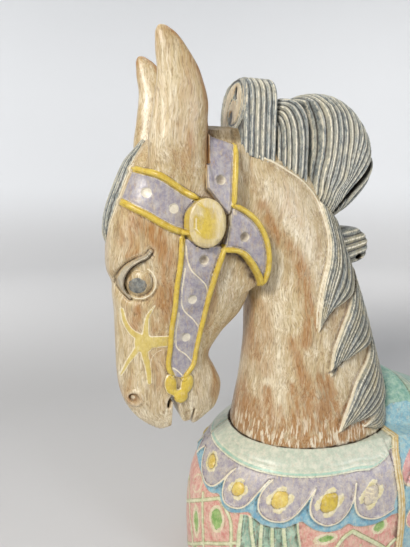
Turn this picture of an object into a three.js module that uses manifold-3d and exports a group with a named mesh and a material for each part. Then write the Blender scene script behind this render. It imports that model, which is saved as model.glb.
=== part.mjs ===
// A carved carousel horse as a bust: head and neck in one piece of wood, glued on the top of the chest.
// Millimetres, +Z up. The horse looks along -X, its middle plane is Y = 0, and the origin is at the
// middle of the flat underside.
import * as THREE from 'three';
import { mergeVertices } from 'three/addons/utils/BufferGeometryUtils.js';
import Module from 'manifold-3d';

const wasm = await Module();
wasm.setup();

// ---- driving dimensions -------------------------------------------------------------------------
const HALF_LENGTH = 231;        // from the origin to the forehead, and to the flat cut at the back
const SEAM_HEIGHT = 172;        // glue seam between neck and chest
const SEAM_GAP = 0.3;           // open joint at the seam
const SEAM_CENTRE = 35.5;       // middle of the neck's base
const SEAM_LENGTH = 108;        // half the neck's base, along X
const SEAM_WIDTH = 84;          // half the neck's base, across
const EAR_TOP = 632;            // height of the ear tips, and of the whole bust
const RELIEF = 2.6;             // how far the carved straps stand out of the head
const PIPING = 1.6;             // how far the edge of the jowl stands above the straps
const RIB_PITCH = 8;            // from one main rib of the mane to the next
const RIB_DEPTH = 2;            // groove between two ribs
const SCALLOP_PITCH = 52;       // from one scallop of the caparison to the next, round the breast
const SCALLOP_COUNT = 5;        // scallops on each side of the breast
const SCALLOP_DROP = 30;        // from a scallop's top point to its lowest
const BORDER_FRONT = 142;       // height of the flowered border at the breast
const BORDER_SIDE = 125;        // height of the flowered border at the flank
const HEM_BAND_X = 97;          // upright band that ends the breast cloth
const CUT_CORNER = 20;          // rounding of the two upright corners at the back

// ---- finishes -----------------------------------------------------------------------------------
const limedWood = new THREE.MeshStandardMaterial({ color: 0xb59376, roughness: 0.75, metalness: 0 });
const paintedWood = new THREE.MeshStandardMaterial({ color: 0x9dbdb4, roughness: 0.7, metalness: 0 });

// ---- curves and solids --------------------------------------------------------------------------

// A smooth value along stations [position, value, ...], with no overshoot between them.
function along(stations, column = 1) {
  const place = stations.map((station) => station[0]);
  const value = stations.map((station) => station[column]);
  const last = place.length - 1;
  const slope = place.slice(1).map((p, i) => (value[i + 1] - value[i]) / (p - place[i]));
  const tangent = place.map((p, i) => {
    if (i === 0) return slope[0];
    if (i === last) return slope[last - 1];
    const product = slope[i - 1] * slope[i];
    return product <= 0 ? 0 : (2 * product) / (slope[i - 1] + slope[i]);
  });
  return (p) => {
    if (p <= place[0]) return value[0];
    if (p >= place[last]) return value[last];
    const i = place.findIndex((q) => q > p) - 1;
    const span = place[i + 1] - place[i];
    const t = (p - place[i]) / span;
    const a = value[i] * (1 + 2 * t) * (1 - t) ** 2 + tangent[i] * span * t * (1 - t) ** 2;
    const b = value[i + 1] * t * t * (3 - 2 * t) + tangent[i + 1] * span * t * t * (t - 1);
    return a + b;
  };
}

// Evenly spaced numbers from one value to another, both included.
function steps(from, to, count) {
  return Array.from({ length: count + 1 }, (_, i) => from + ((to - from) * i) / count);
}

// A rounded section with half sizes (a, b). Power 2 is an ellipse, and a higher one is squarer.
function roundSection(a, b, power, count) {
  return Array.from({ length: count }, (_, i) => {
    const angle = (2 * Math.PI * i) / count;
    const c = Math.cos(angle);
    const s = Math.sin(angle);
    const u = a * Math.sign(c) * Math.abs(c) ** (2 / power);
    const v = b * Math.sign(s) * Math.abs(s) ** (2 / power);
    return [u, v];
  });
}

// A closed mesh through rings of equal count, with flat ends.
function loft(rings) {
  const count = rings[0].length;
  const vertices = rings.flat();
  const faces = [];
  for (let k = 0; k + 1 < rings.length; k += 1) {
    for (let i = 0; i < count; i += 1) {
      const j = (i + 1) % count;
      const [a, b] = [k * count + i, k * count + j];
      const [c, d] = [a + count, b + count];
      faces.push([a, b, d], [a, d, c]);
    }
  }
  const ends = [rings[0], rings[rings.length - 1]];
  ends.forEach((ring, end) => {
    const middle = ring.reduce((sum, p) => sum.map((v, n) => v + p[n] / count), [0, 0, 0]);
    const hub = vertices.push(middle) - 1;
    const base = end === 0 ? 0 : (rings.length - 1) * count;
    for (let i = 0; i < count; i += 1) {
      const j = (i + 1) % count;
      faces.push(end === 0 ? [hub, base + j, base + i] : [hub, base + i, base + j]);
    }
  });
  const geometry = new THREE.BufferGeometry();
  geometry.setAttribute('position', new THREE.Float32BufferAttribute(vertices.flat(), 3));
  geometry.setIndex(faces.flat());
  return geometry;
}

// The volume inside a closed mesh, turned outwards if it was inside out.
function solid(geometry) {
  const bare = geometry.clone();
  bare.deleteAttribute('normal');
  bare.deleteAttribute('uv');
  const merged = mergeVertices(bare, 1e-4);
  const vertProperties = new Float32Array(merged.attributes.position.array);
  const triVerts = new Uint32Array(merged.index.array);
  const made = (turn) => {
    const order = turn ? triVerts.map((_, i) => triVerts[i - (i % 3) + (2 - (i % 3))]) : triVerts;
    return new wasm.Manifold(new wasm.Mesh({ numProp: 3, vertProperties, triVerts: order }));
  };
  const first = made(false);
  return first.volume() > 0 ? first : made(true);
}

// A named mesh from a finished volume.
function meshOf(volume, name, material) {
  const { vertProperties, triVerts } = volume.getMesh();
  const geometry = new THREE.BufferGeometry();
  geometry.setAttribute('position', new THREE.BufferAttribute(new Float32Array(vertProperties), 3));
  geometry.setIndex(new THREE.BufferAttribute(new Uint32Array(triVerts), 1));
  geometry.computeVertexNormals();
  const mesh = new THREE.Mesh(geometry, material);
  mesh.name = name;
  return mesh;
}

// The same volume on the other side of the middle plane.
const mirrored = (volume) => volume.mirror([0, 1, 0]);

// Joins a volume with its mirror image.
const onBothSides = (volume) => volume.add(mirrored(volume));

// An outline drawn in the side view, [x, z] points, run across the horse from y0 to y1.
function acrossHorse(outline, y0 = -90, y1 = 90) {
  const shape = new THREE.Shape(outline.map(([x, z]) => new THREE.Vector2(x, z)));
  const geometry = new THREE.ExtrudeGeometry(shape, { depth: y1 - y0, bevelEnabled: false });
  geometry.rotateX(Math.PI / 2);
  geometry.translate(0, y1, 0);
  return solid(geometry);
}

// A band of even width along points [x, z] of the side view, drawn as a smooth curve.
function bandOutline(points, width, count = 14) {
  const curve = new THREE.CatmullRomCurve3(points.map(([x, z]) => new THREE.Vector3(x, 0, z)));
  const left = [];
  const right = [];
  for (let i = 0; i <= count; i += 1) {
    const p = curve.getPoint(i / count);
    const t = curve.getTangent(i / count);
    left.push([p.x - (t.z * width) / 2, p.z + (t.x * width) / 2]);
    right.unshift([p.x + (t.z * width) / 2, p.z - (t.x * width) / 2]);
  }
  return [...left, ...right];
}

// A circle in the side view.
function disc(x, z, radiusX, radiusZ = radiusX, count = 16) {
  return roundSection(radiusX, radiusZ, 2, count).map(([u, v]) => [x + u, z + v]);
}

// ---- head ---------------------------------------------------------------------------------------

// Height, front of the face, back of the jaw, half thickness, squareness.
const HEAD = [
  [193.5, -173, -128, 20, 2.2],
  [201, -189, -120, 26, 2.2],
  [219, -207, -97, 32, 2.3],
  [242, -218, -94, 36, 2.3],
  [264, -222, -102, 35.5, 2.3],
  [282, -224, -110, 34.5, 2.3],
  [308, -224.5, -96, 36, 2.4],
  [338, -224.5, -68, 40, 2.5],
  [366, -225.5, -57, 45, 2.6],
  [400, -229, -48, 49, 2.7],
  [435, -226.5, -59, 50, 2.7],
  [462, -219, -90, 49, 2.7],
  [500, -204, -92, 45, 2.6],
  [530, -182, -95, 38, 2.4],
  [547, -152, -104, 24, 2.2],
];

const headFront = along(HEAD, 1);
const headBack = along(HEAD, 2);
const headHalf = along(HEAD, 3);
const headSquare = along(HEAD, 4);

// The head as level slices, grown by a margin all round.
function headVolume(grow, levels = 16, count = 20) {
  const rings = steps(HEAD[0][0], HEAD[HEAD.length - 1][0], levels).map((z) => {
    const front = headFront(z) - grow;
    const back = headBack(z) + grow;
    const section = roundSection((back - front) / 2, headHalf(z) + grow, headSquare(z), count);
    return section.map(([u, v]) => [(front + back) / 2 + u, v, z]);
  });
  return solid(loft(rings));
}

// The open mouth, a narrow wedge right through between the lips.
function mouthGap() {
  return acrossHorse([[-163, 185], [-157.5, 213], [-154, 226], [-150.5, 221], [-146, 206], [-141.5, 185]]);
}

// An eyeball with its heavy lid above it.
function eye() {
  const ball = new THREE.SphereGeometry(19, 14, 9);
  ball.scale(1, 0.75, 1);
  ball.translate(-200, -36.5, 384);
  const lid = bandOutline([[-186, 415], [-203, 406], [-222, 396], [-227, 387], [-218, 376], [-210, 362]], 8, 6);
  const lidSolid = acrossHorse(lid, -80, -20).intersect(headVolume(RELIEF));
  return onBothSides(solid(ball).add(lidSolid));
}

// A shallow drilled nostril.
function nostril() {
  const bore = new THREE.CylinderGeometry(4.5, 4.5, 10, 12);
  bore.translate(-207, -36, 248);
  return onBothSides(solid(bore));
}

// ---- ears ---------------------------------------------------------------------------------------

// Height, front edge, back edge, middle of the thickness across, half thickness.
const EAR = [
  [476, -182, -122, 36, 13],
  [500, -186, -126, 39, 15],
  [526, -187, -127, 42, 16],
  [560, -182, -125, 45, 15],
  [592, -178, -134, 48, 12.5],
  [613, -180, -148, 50, 9.5],
  [626, -180, -160, 51, 6.5],
  [EAR_TOP, -178, -169, 51.5, 3],
];

// A tall leaf-shaped ear with a long hollow that faces forward and out.
function ear() {
  const [front, back, middle, half] = [1, 2, 3, 4].map((column) => along(EAR, column));
  const rings = steps(EAR[0][0], EAR_TOP, 9).map((z) => {
    const section = roundSection((back(z) - front(z)) / 2, half(z), 2, 12);
    return section.map(([u, v]) => [(front(z) + back(z)) / 2 + u, v - middle(z), z]);
  });
  const hollow = new THREE.SphereGeometry(1, 10, 8);
  hollow.scale(11, 9, 52);
  hollow.rotateY(-0.04);
  hollow.translate(-176, -61, 566);
  return solid(loft(rings)).subtract(solid(hollow));
}

// ---- neck ---------------------------------------------------------------------------------------

// Height, throat, back of the neck, half thickness.
const NECK = [
  [SEAM_HEIGHT + SEAM_GAP, SEAM_CENTRE - SEAM_LENGTH, SEAM_CENTRE + SEAM_LENGTH, SEAM_WIDTH],
  [200, -68, 139, 79],
  [232, -62, 130, 74],
  [267, -58, 119, 68],
  [296, -56, 109, 64],
  [326, -56, 98, 60],
  [353, -57, 88, 56],
  [382, -60, 76, 52],
  [410, -66, 63, 49],
  [440, -88, 51, 45],
  [470, -112, 38, 41],
  [500, -122, 14, 36],
  [520, -126, -14, 30],
  [534, -124, -44, 20],
];

// The neck as level slices, grown by a margin all round.
function neckVolume(grow = 0, levels = 13, count = 22) {
  const [front, back, half] = [1, 2, 3].map((column) => along(NECK, column));
  const rings = steps(NECK[0][0], NECK[NECK.length - 1][0], levels).map((z) => {
    const section = roundSection((back(z) - front(z)) / 2 + grow, half(z) + grow, 2.1, count);
    return section.map(([u, v]) => [(front(z) + back(z)) / 2 + u, v, z - grow]);
  });
  return solid(loft(rings));
}

// ---- mane ---------------------------------------------------------------------------------------

// A fat curl that lies along the crest, its ribs running over it from side to side.
// Stations are place along X, underside, top, half width.
function curl(stations) {
  const [under, top, half] = [1, 2, 3].map((column) => along(stations, column));
  const start = stations[0][0];
  const end = stations[stations.length - 1][0];
  const ribs = Math.round((end - start) / RIB_PITCH);
  const rings = steps(start, end, 2 * ribs).map((x, k) => {
    const groove = k % 2 === 0 ? RIB_DEPTH : 0;
    const height = (top(x) - under(x)) / 2 - groove;
    const section = roundSection(half(x) - groove, height, 2.3, 10);
    return section.map(([u, v]) => [x, u, (top(x) + under(x)) / 2 + v]);
  });
  return solid(loft(rings));
}

const CREST_CURLS = [
  [[-82, 548, 602, 33], [-79, 540, 607, 36], [-60, 510, 608, 37], [-42, 504, 607, 36], [-40, 506, 604, 34]],
  [[-42, 500, 580, 28], [-30, 494, 586, 32], [-14, 486, 586, 32]],
  [[-18, 484, 584, 32], [2, 470, 594, 38], [46, 452, 594, 41], [78, 464, 582, 39], [98, 480, 566, 31],
    [109, 498, 546, 18]],
  [[44, 396, 426, 18], [78, 386, 429, 24], [100, 387, 425, 20], [109, 396, 416, 10]],
];

// A tapering lock along points on the side of the neck, thick at its root and thin at its tip.
function lock(points, rootRadius) {
  const curve = new THREE.CatmullRomCurve3(points.map((p) => new THREE.Vector3(...p)));
  const rings = steps(0, 1, 6).map((t) => {
    const centre = curve.getPoint(t);
    const ahead = curve.getTangent(t);
    const out = new THREE.Vector3(0, -1, 0.15).projectOnPlane(ahead).normalize();
    const wide = new THREE.Vector3().crossVectors(ahead, out);
    const radius = rootRadius * (1 - 0.86 * t ** 1.6);
    return roundSection(radius, radius * 0.62, 2, 8).map(([u, v]) => {
      const p = centre.clone().addScaledVector(wide, u).addScaledVector(out, v);
      return [p.x, p.y, p.z];
    });
  });
  return solid(loft(rings));
}

const NECK_LOCKS = [
  { root: 17, points: [[60, -30, 408], [48, -43, 384], [36, -51, 354], [27, -57, 322], [19, -62, 300]] },
  { root: 17, points: [[82, -28, 358], [68, -44, 334], [52, -57, 302], [41, -65, 266], [35, -70, 238]] },
  { root: 17, points: [[102, -26, 312], [90, -44, 284], [76, -59, 250], [58, -72, 214], [43, -78, 190]] },
];

// The lock that lies down the middle of the forehead.
function forelock() {
  const points = [[-184, 0, 534], [-203, 0, 504], [-217, 0, 474], [-224, 0, 448], [-226, 0, 424]];
  const curve = new THREE.CatmullRomCurve3(points.map((p) => new THREE.Vector3(...p)));
  const rings = steps(0, 1, 8).map((t) => {
    const centre = curve.getPoint(t);
    const half = 15 * (1 - 0.8 * t * t);
    return roundSection(5, half, 2, 10).map(([u, v]) => [centre.x + u, v, centre.z + u * 0.4]);
  });
  return solid(loft(rings));
}

// ---- bridle -------------------------------------------------------------------------------------

const ROSETTE = { x: -131, z: 443, radiusX: 24, radiusZ: 27 };

// The broad straps, each a centre line in the side view and a width.
const STRAPS = [
  { line: [[-131, 443], [-160, 458], [-190, 474], [-222, 482]], width: 38 },
  { line: [[-112, 462], [-109, 488], [-108, 530]], width: 28 },
  { line: [[-133, 418], [-143, 360], [-152, 300], [-153, 272]], width: 36 },
];
const STRAP_STEPS = 2;          // pieces in each long edge of a strap's outline
const JOWL_EDGE_STEPS = 5;      // the same for the edges round the jowl
const JOWL_EDGE_WIDTH = 6;
const ROSETTE_RISE = 3;         // how far the rosette and the bit stand out of the head
const JOWL_EDGE = [[-98, 462], [-80, 456], [-66, 442], [-54, 420], [-51, 396], [-58, 370]];
const JOWL_LINE = [[-108, 408], [-88, 402], [-76, 394], [-66, 378], [-60, 366]];

// All the raised straps of the bridle, cut out of a slightly larger head.
function bridle() {
  const strapSkin = headVolume(RELIEF);
  const beadSkin = headVolume(RELIEF + PIPING);
  const domeSkin = headVolume(RELIEF + ROSETTE_RISE);
  const parts = [];
  for (const { line, width } of STRAPS) {
    parts.push(acrossHorse(bandOutline(line, width, STRAP_STEPS)).intersect(strapSkin));
  }
  for (const line of [JOWL_EDGE, JOWL_LINE]) {
    parts.push(acrossHorse(bandOutline(line, JOWL_EDGE_WIDTH, JOWL_EDGE_STEPS)).intersect(beadSkin));
  }
  const { x, z, radiusX, radiusZ } = ROSETTE;
  parts.push(acrossHorse(disc(x, z, radiusX, radiusZ)).intersect(domeSkin));
  parts.push(acrossHorse(disc(-157, 262, 16, 12)).intersect(domeSkin));
  return parts.reduce((sum, part) => sum.add(part));
}

// The star-shaped splash carved on the side of the nose.
function noseStar() {
  const hub = [-196, 312];
  const tips = [[-168, 314], [-182, 357], [-215, 350], [-219, 280], [-192, 268]];
  const skin = headVolume(1.4);
  const arms = tips.map((tip) => acrossHorse(bandOutline([hub, tip], 8, 2)));
  return arms.reduce((sum, arm) => sum.add(arm)).intersect(skin);
}

function headAndNeck() {
  let volume = headVolume(0).add(neckVolume());
  volume = volume.add(onBothSides(ear())).add(eye()).add(forelock());
  for (const stations of CREST_CURLS) {
    volume = volume.add(curl(stations));
  }
  for (const { points, root } of NECK_LOCKS) {
    volume = volume.add(onBothSides(lock(points, root)));
  }
  volume = volume.add(bridle()).add(noseStar());
  return volume.subtract(mouthGap()).subtract(nostril());
}

// ---- chest --------------------------------------------------------------------------------------

// Height, breast, where the side runs straight, half width.
const CHEST = [
  [0, -133, 45, 116],
  [45, -135, 45, 120],
  [76, -133, 45, 121],
  [106, -129, 45, 119],
  [126, -121, 45, 115],
  [148, -106, 42, 106],
  [163, -90, 38, 95],
  [SEAM_HEIGHT, -74, SEAM_CENTRE, 86],
];

// A level slice of the torso: round at the breast, straight sides, and a flat cut at the back.
function chestSlice(z, grow, count = 32) {
  const [breast, turn, half] = [1, 2, 3].map((column) => along(CHEST, column));
  const width = half(z) + grow;
  const reach = turn(z) - breast(z) + grow;
  const front = steps(-Math.PI / 2, Math.PI / 2, count).map((angle) => [
    turn(z) - reach * Math.cos(angle),
    width * Math.sin(angle),
  ]);
  const side = (sign) => steps(turn(z), HEM_BAND_X, 5).slice(1).map((x) => [x, sign * width]);
  const corner = (sign) => steps(0, Math.PI / 2, 3).map((angle) => [
    HALF_LENGTH - CUT_CORNER * (1 - Math.sin(angle)),
    sign * (half(z) - CUT_CORNER * (1 - Math.cos(angle))),
  ]);
  const back = [...side(1), ...corner(1), ...corner(-1).reverse(), ...side(-1).reverse()];
  return [...front, ...back].map(([x, y]) => [x, y, z]);
}

// Distance round the breast from the middle of the front, for every point of a slice.
function girthOf(slice) {
  const front = slice.reduce((best, p, i) => (p[0] < slice[best][0] ? i : best), 0);
  const girth = slice.map(() => 0);
  for (const step of [1, -1]) {
    for (let i = front; i + step >= 0 && i + step < slice.length; i += step) {
      const [p, q] = [slice[i], slice[i + step]];
      girth[i + step] = girth[i] + Math.hypot(q[0] - p[0], q[1] - p[1]);
    }
  }
  return girth;
}

// Height of the middle of the border at a distance round the breast.
const borderHeight = (girth) => {
  const t = Math.min(girth / (SCALLOP_PITCH * (SCALLOP_COUNT - 1)), 1);
  return BORDER_FRONT + (BORDER_SIDE - BORDER_FRONT) * t;
};

// The torso with its collar band and scalloped border standing a little proud.
function torso() {
  const rings = [0, 28, 52, 70].map((z) => chestSlice(z, -1));
  const border = [[-12, -1], [-11.5, 2], [-2, 2], [-1.5, 0]];
  for (const [offset, grow] of border) {
    const slice = chestSlice(BORDER_SIDE - 20, grow);
    const girth = girthOf(slice);
    rings.push(slice.map(([x, y, z], i) => {
      const hang = SCALLOP_DROP * Math.abs(Math.sin((Math.PI * girth[i]) / SCALLOP_PITCH));
      const lift = girth[i] < SCALLOP_PITCH * SCALLOP_COUNT ? SCALLOP_DROP * 0.7 - hang : 0;
      return [x, y, z + offset + lift * 0.6 + (borderHeight(girth[i]) - BORDER_SIDE) * 0.4];
    }));
  }
  rings.push(chestSlice(150, 0), chestSlice(151, 2), chestSlice(164, 1.5), chestSlice(SEAM_HEIGHT, 0));
  return solid(loft(rings));
}

// The withers and the front of the saddle, a rounded rise behind the neck.
function saddleFront() {
  const stations = [[112, 200, 50], [136, 222, 60], [156, 229, 70], [182, 217, 90], [HALF_LENGTH, 196, 112]];
  const [top, half] = [1, 2].map((column) => along(stations, column));
  const rings = steps(stations[0][0], HALF_LENGTH, 7).map((x) => {
    const height = (top(x) - 60) / 2;
    return roundSection(half(x), height, 2.2, 20).map(([u, v]) => [x, u, 60 + height + v]);
  });
  return solid(loft(rings));
}

// Small round flowers, one in each scallop.
function flowers() {
  const made = [];
  const slice = chestSlice(BORDER_SIDE, 0);
  const girth = girthOf(slice);
  for (let k = 0; k < SCALLOP_COUNT; k += 1) {
    const at = (k + 0.5) * SCALLOP_PITCH;
    const nearest = slice.reduce((best, p, i) => {
      const better = p[1] < 0 && Math.abs(girth[i] - at) < Math.abs(girth[best] - at);
      return better ? i : best;
    }, 0);
    const [x, y] = slice[nearest];
    const inward = new THREE.Vector3(SEAM_CENTRE - x, -y, -10).normalize();
    const face = new THREE.CylinderGeometry(12, 12, 50, 8);
    face.applyQuaternion(new THREE.Quaternion().setFromUnitVectors(new THREE.Vector3(0, 1, 0), inward));
    face.translate(x + inward.x * 15, y + inward.y * 15, borderHeight(at));
    made.push(onBothSides(solid(face)));
  }
  const skin = solid(loft([100, 126, 152].map((z) => chestSlice(z, 3.2, 24))));
  return made.reduce((sum, flower) => sum.add(flower)).intersect(skin);
}

// The upright band at the end of the breast cloth, on both flanks.
function hemBand() {
  const band = [-5, 5].map((side) => HEM_BAND_X + side);
  const outline = [[band[0], 0], [band[1], 0], [band[1], 168], [band[0], 168]];
  const skin = solid(loft([0, 45, 106, 126, 148, 163, 170].map((z) => chestSlice(z, 2.6, 24))));
  return acrossHorse(outline, -140, 140).intersect(skin);
}

function chest() {
  const clearance = neckVolume(SEAM_GAP + 0.2);
  return torso().add(hemBand()).add(saddleFront()).add(flowers()).subtract(clearance);
}

// ---- the bust -----------------------------------------------------------------------------------
const bust = new THREE.Group();
bust.name = 'carousel_horse';
bust.add(meshOf(headAndNeck(), 'head_and_neck', limedWood));
bust.add(meshOf(chest(), 'chest', paintedWood));

export default bust;
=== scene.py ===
"""A carved and painted carousel horse: head, neck, mane and chest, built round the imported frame.

Every form is worked out in millimetres as a field of signed distances on a grid, joined and carved
there, and turned into one closed skin. Paint lines travel with the skin as distances in millimetres,
so a finish can draw them finer than the mesh.
"""
import logging
import math
from collections.abc import Sequence
from dataclasses import dataclass, field
from enum import Enum

import bpy
import numpy as np
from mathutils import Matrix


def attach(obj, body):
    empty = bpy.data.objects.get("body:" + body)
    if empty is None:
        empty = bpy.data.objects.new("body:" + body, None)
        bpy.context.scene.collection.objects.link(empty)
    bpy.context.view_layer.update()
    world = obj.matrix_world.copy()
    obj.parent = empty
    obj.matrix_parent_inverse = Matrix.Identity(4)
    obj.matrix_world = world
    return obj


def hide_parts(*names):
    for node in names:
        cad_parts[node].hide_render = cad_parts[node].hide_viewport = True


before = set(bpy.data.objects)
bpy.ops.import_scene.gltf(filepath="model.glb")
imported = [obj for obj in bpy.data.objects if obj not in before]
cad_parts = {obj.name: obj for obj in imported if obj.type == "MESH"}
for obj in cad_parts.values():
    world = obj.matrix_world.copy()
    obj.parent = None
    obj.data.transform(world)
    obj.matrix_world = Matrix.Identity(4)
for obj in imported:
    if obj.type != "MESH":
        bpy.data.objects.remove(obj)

import openvdb as vdb
from mathutils import Vector

LOG = logging.getLogger("carousel_horse")
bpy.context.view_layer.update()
MM = 0.001                      # metres in a millimetre
FAR = 30.0                      # a distance that counts as far away, mm
BUST = "root"                   # the one body of the bust
SEAM = 172.3                    # height of the open glue seam round the neck, mm

Points = Sequence[Sequence[float]]


class Slot(Enum):
    """The finishes that a buyer of the part may change."""

    WOOD = "limed_wood"
    PAINT = "painted_wood"


# ---- curves -------------------------------------------------------------------------------------

class Profile:
    """Smooth values along stations, with no overshoot between them."""

    def __init__(self, stations: Points) -> None:
        """Keeps the stations and works out a slope at each.

        Args:
            stations: rows of a place and the values there.
        """
        rows = np.array(stations, float)
        self.place, self.value = rows[:, 0], rows[:, 1:]
        gap = np.diff(self.place)[:, None]
        slope = np.diff(self.value, axis=0) / gap
        before, after = slope[:-1], slope[1:]
        same_way = before * after > 0
        total = np.where(same_way, before + after, 1.0)
        middle = np.where(same_way, 2 * before * after / total, 0.0)
        self.slope = np.vstack([slope[:1], middle, slope[-1:]])

    def __call__(self, place: np.ndarray | float) -> np.ndarray:
        """Values at each place, one row a place."""
        p = np.clip(np.atleast_1d(np.asarray(place, float)), self.place[0], self.place[-1])
        i = np.clip(np.searchsorted(self.place, p, side="right") - 1, 0, len(self.place) - 2)
        span = (self.place[i + 1] - self.place[i])[:, None]
        t = (p[:, None] - self.place[i][:, None]) / span
        low = self.value[i] * (1 + 2 * t) * (1 - t) ** 2 + self.slope[i] * span * t * (1 - t) ** 2
        high = self.value[i + 1] * t * t * (3 - 2 * t) + self.slope[i + 1] * span * t * t * (t - 1)
        return low + high


def curve(points: Points, per: int = 6) -> np.ndarray:
    """A smooth line through points.

    Args:
        points: the places that it passes, in any number of dimensions.
        per: steps from one point to the next.

    Returns:
        The line's points, the first and last of them the ends given.
    """
    p = np.array(points, float)
    if len(p) < 3:
        return np.linspace(p[0], p[-1], per + 1)
    chord = np.maximum(np.linalg.norm(np.diff(p, axis=0), axis=1), 1e-6) ** 0.5
    knots = np.concatenate([[0.0], np.cumsum(chord)])
    tangent = np.gradient(p, knots, axis=0)
    made = []
    for k in range(len(p) - 1):
        t = np.linspace(0, 1, per, endpoint=False)[:, None]
        span = knots[k + 1] - knots[k]
        made.append(p[k] * (1 + 2 * t) * (1 - t) ** 2 + tangent[k] * span * t * (1 - t) ** 2
                    + p[k + 1] * t * t * (3 - 2 * t) + tangent[k + 1] * span * t * t * (t - 1))
    return np.vstack([*made, p[-1:]])


def resampled(line: np.ndarray, count: int) -> np.ndarray:
    """The same line as a number of evenly spaced points."""
    run = np.concatenate([[0.0], np.cumsum(np.linalg.norm(np.diff(line, axis=0), axis=1))])
    at = np.linspace(0, run[-1], count)
    return np.stack([np.interp(at, run, line[:, k]) for k in range(line.shape[1])], axis=1)


def ramp(value: np.ndarray, low: float, high: float) -> np.ndarray:
    """A smooth step from 0 at low to 1 at high, or the other way where high is the smaller."""
    t = np.clip((value - low) / (high - low), 0.0, 1.0)
    return t * t * (3 - 2 * t)


def dome(distance: np.ndarray, half: float | np.ndarray) -> np.ndarray:
    """A half-round section: 1 in the middle of a line and 0 at half its width."""
    return np.sqrt(np.clip(1 - (distance / half) ** 2, 0.0, 1.0))


# ---- closed skins -------------------------------------------------------------------------------

@dataclass
class Shell:
    """A closed skin in millimetres."""

    points: np.ndarray
    faces: np.ndarray

    def joined(self, *others: "Shell") -> "Shell":
        """This skin and others as one, with nothing merged."""
        points, faces = [self.points], [self.faces]
        for other in others:
            faces.append(other.faces + sum(len(p) for p in points))
            points.append(other.points)
        return Shell(np.vstack(points), np.vstack(faces))

    def mirrored(self) -> "Shell":
        """The same skin on the other flank, still facing outwards."""
        return Shell(self.points * [1, -1, 1], self.faces[:, ::-1])

    def on_both_flanks(self) -> "Shell":
        """This skin and its mirror image."""
        return self.joined(self.mirrored())


def round_section(half_u: float, half_v: float, power: float, count: int) -> np.ndarray:
    """A rounded outline. Power 2 is an ellipse, and a higher one is squarer."""
    angle = np.arange(count) * 2 * math.pi / count
    c, s = np.cos(angle), np.sin(angle)
    return np.stack([half_u * np.sign(c) * np.abs(c) ** (2 / power),
                     half_v * np.sign(s) * np.abs(s) ** (2 / power)], axis=1)


def loft(rings: np.ndarray) -> Shell:
    """A closed skin of triangles through rings of equal count, with flat ends.

    Args:
        rings: rings, corners and coordinates, turning left as seen from the last ring.
    """
    count, around = rings.shape[:2]
    corner = np.arange(around)
    after = (corner + 1) % around
    faces = []
    for k in range(count - 1):
        a, b = k * around + corner, k * around + after
        faces += [np.stack([a, b, b + around], 1), np.stack([a, b + around, a + around], 1)]
    hub = count * around
    last = (count - 1) * around
    faces.append(np.stack([np.full(around, hub), after, corner], 1))
    faces.append(np.stack([np.full(around, hub + 1), last + corner, last + after], 1))
    middles = np.stack([rings[0].mean(0), rings[-1].mean(0)])
    return Shell(np.vstack([rings.reshape(-1, 3), middles]), np.vstack(faces))


def upright_loft(stations: Points, levels: np.ndarray, count: int = 96) -> Shell:
    """A body of level rounded slices, even on both flanks.

    Args:
        stations: rows of height, front, back, half width and power.
        levels: the heights of the slices.
        count: corners of a slice.
    """
    form = Profile(stations)
    rings = []
    for z, (front, back, half, power) in zip(levels, form(levels)):
        outline = round_section((back - front) / 2, half, power, count)
        rings.append(np.column_stack([outline[:, 0] + (front + back) / 2, outline[:, 1],
                                      np.full(count, z)]))
    return loft(np.array(rings))


def prism(outline: np.ndarray, low: float, high: float) -> Shell:
    """A flat outline in the X-Z plane carried across the horse from one Y to another."""
    area = np.sum(outline[:, 0] * np.roll(outline[:, 1], -1) - outline[:, 1] * np.roll(outline[:, 0], -1))
    turned = outline if area < 0 else outline[::-1]
    rings = [np.column_stack([turned[:, 0], np.full(len(turned), y), turned[:, 1]]) for y in (low, high)]
    return loft(np.array(rings))


def ball(centre: Sequence[float], radii: Sequence[float], count: int = 32) -> Shell:
    """A closed ball or egg."""
    rings = []
    for angle in np.linspace(-math.pi / 2 + 0.02, math.pi / 2 - 0.02, count // 2):
        ring = round_section(radii[0] * math.cos(angle), radii[1] * math.cos(angle), 2, count)
        rings.append(np.column_stack([ring, np.full(count, radii[2] * math.sin(angle))]))
    return loft(np.array(rings) + np.array(centre))


# ---- distance fields ----------------------------------------------------------------------------

@dataclass(frozen=True)
class Block:
    """A box of evenly spaced places at which forms are joined and carved. Distances are in mm."""

    low: tuple[float, float, float]
    high: tuple[float, float, float]
    step: float
    reach: float = 12.0
    thrift: float = 0.001   # how readily flat stretches get larger faces

    @property
    def shape(self) -> tuple[int, int, int]:
        """How many places there are each way."""
        return tuple(int(math.ceil((b - a) / self.step)) + 1 for a, b in zip(self.low, self.high))

    def axes(self) -> tuple[np.ndarray, np.ndarray, np.ndarray]:
        """The places along X, Y and Z, shaped to spread over the block."""
        x, y, z = (a + np.arange(n) * self.step for a, n in zip(self.low, self.shape))
        return x[:, None, None], y[None, :, None], z[None, None, :]

    def field(self, shell: Shell) -> np.ndarray:
        """Distance to a closed skin at every place, less than 0 inside it."""
        points = (shell.points - np.array(self.low)) / self.step
        grid = vdb.FloatGrid.createLevelSetFromPolygons(
            points.astype(np.float32), triangles=shell.faces.astype(np.uint32),
            transform=vdb.createLinearTransform(1.0), halfWidth=self.reach / self.step)
        made = np.zeros(self.shape, np.float32)
        grid.copyToArray(made)
        return made * self.step

    def skin(self, distances: np.ndarray) -> Shell:
        """The closed skin where the distance is nothing."""
        grid = vdb.FloatGrid(float(self.reach))
        grid.copyFromArray(np.ascontiguousarray(distances, np.float32))
        points, threes, fours = grid.convertToPolygons(0.0, self.thrift)
        threes, fours = threes.astype(np.int64), fours.astype(np.int64)
        faces = np.vstack([threes.reshape(-1, 3), fours[:, [0, 1, 2]], fours[:, [0, 2, 3]]])
        return Shell(points.astype(float) * self.step + np.array(self.low), faces)


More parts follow.
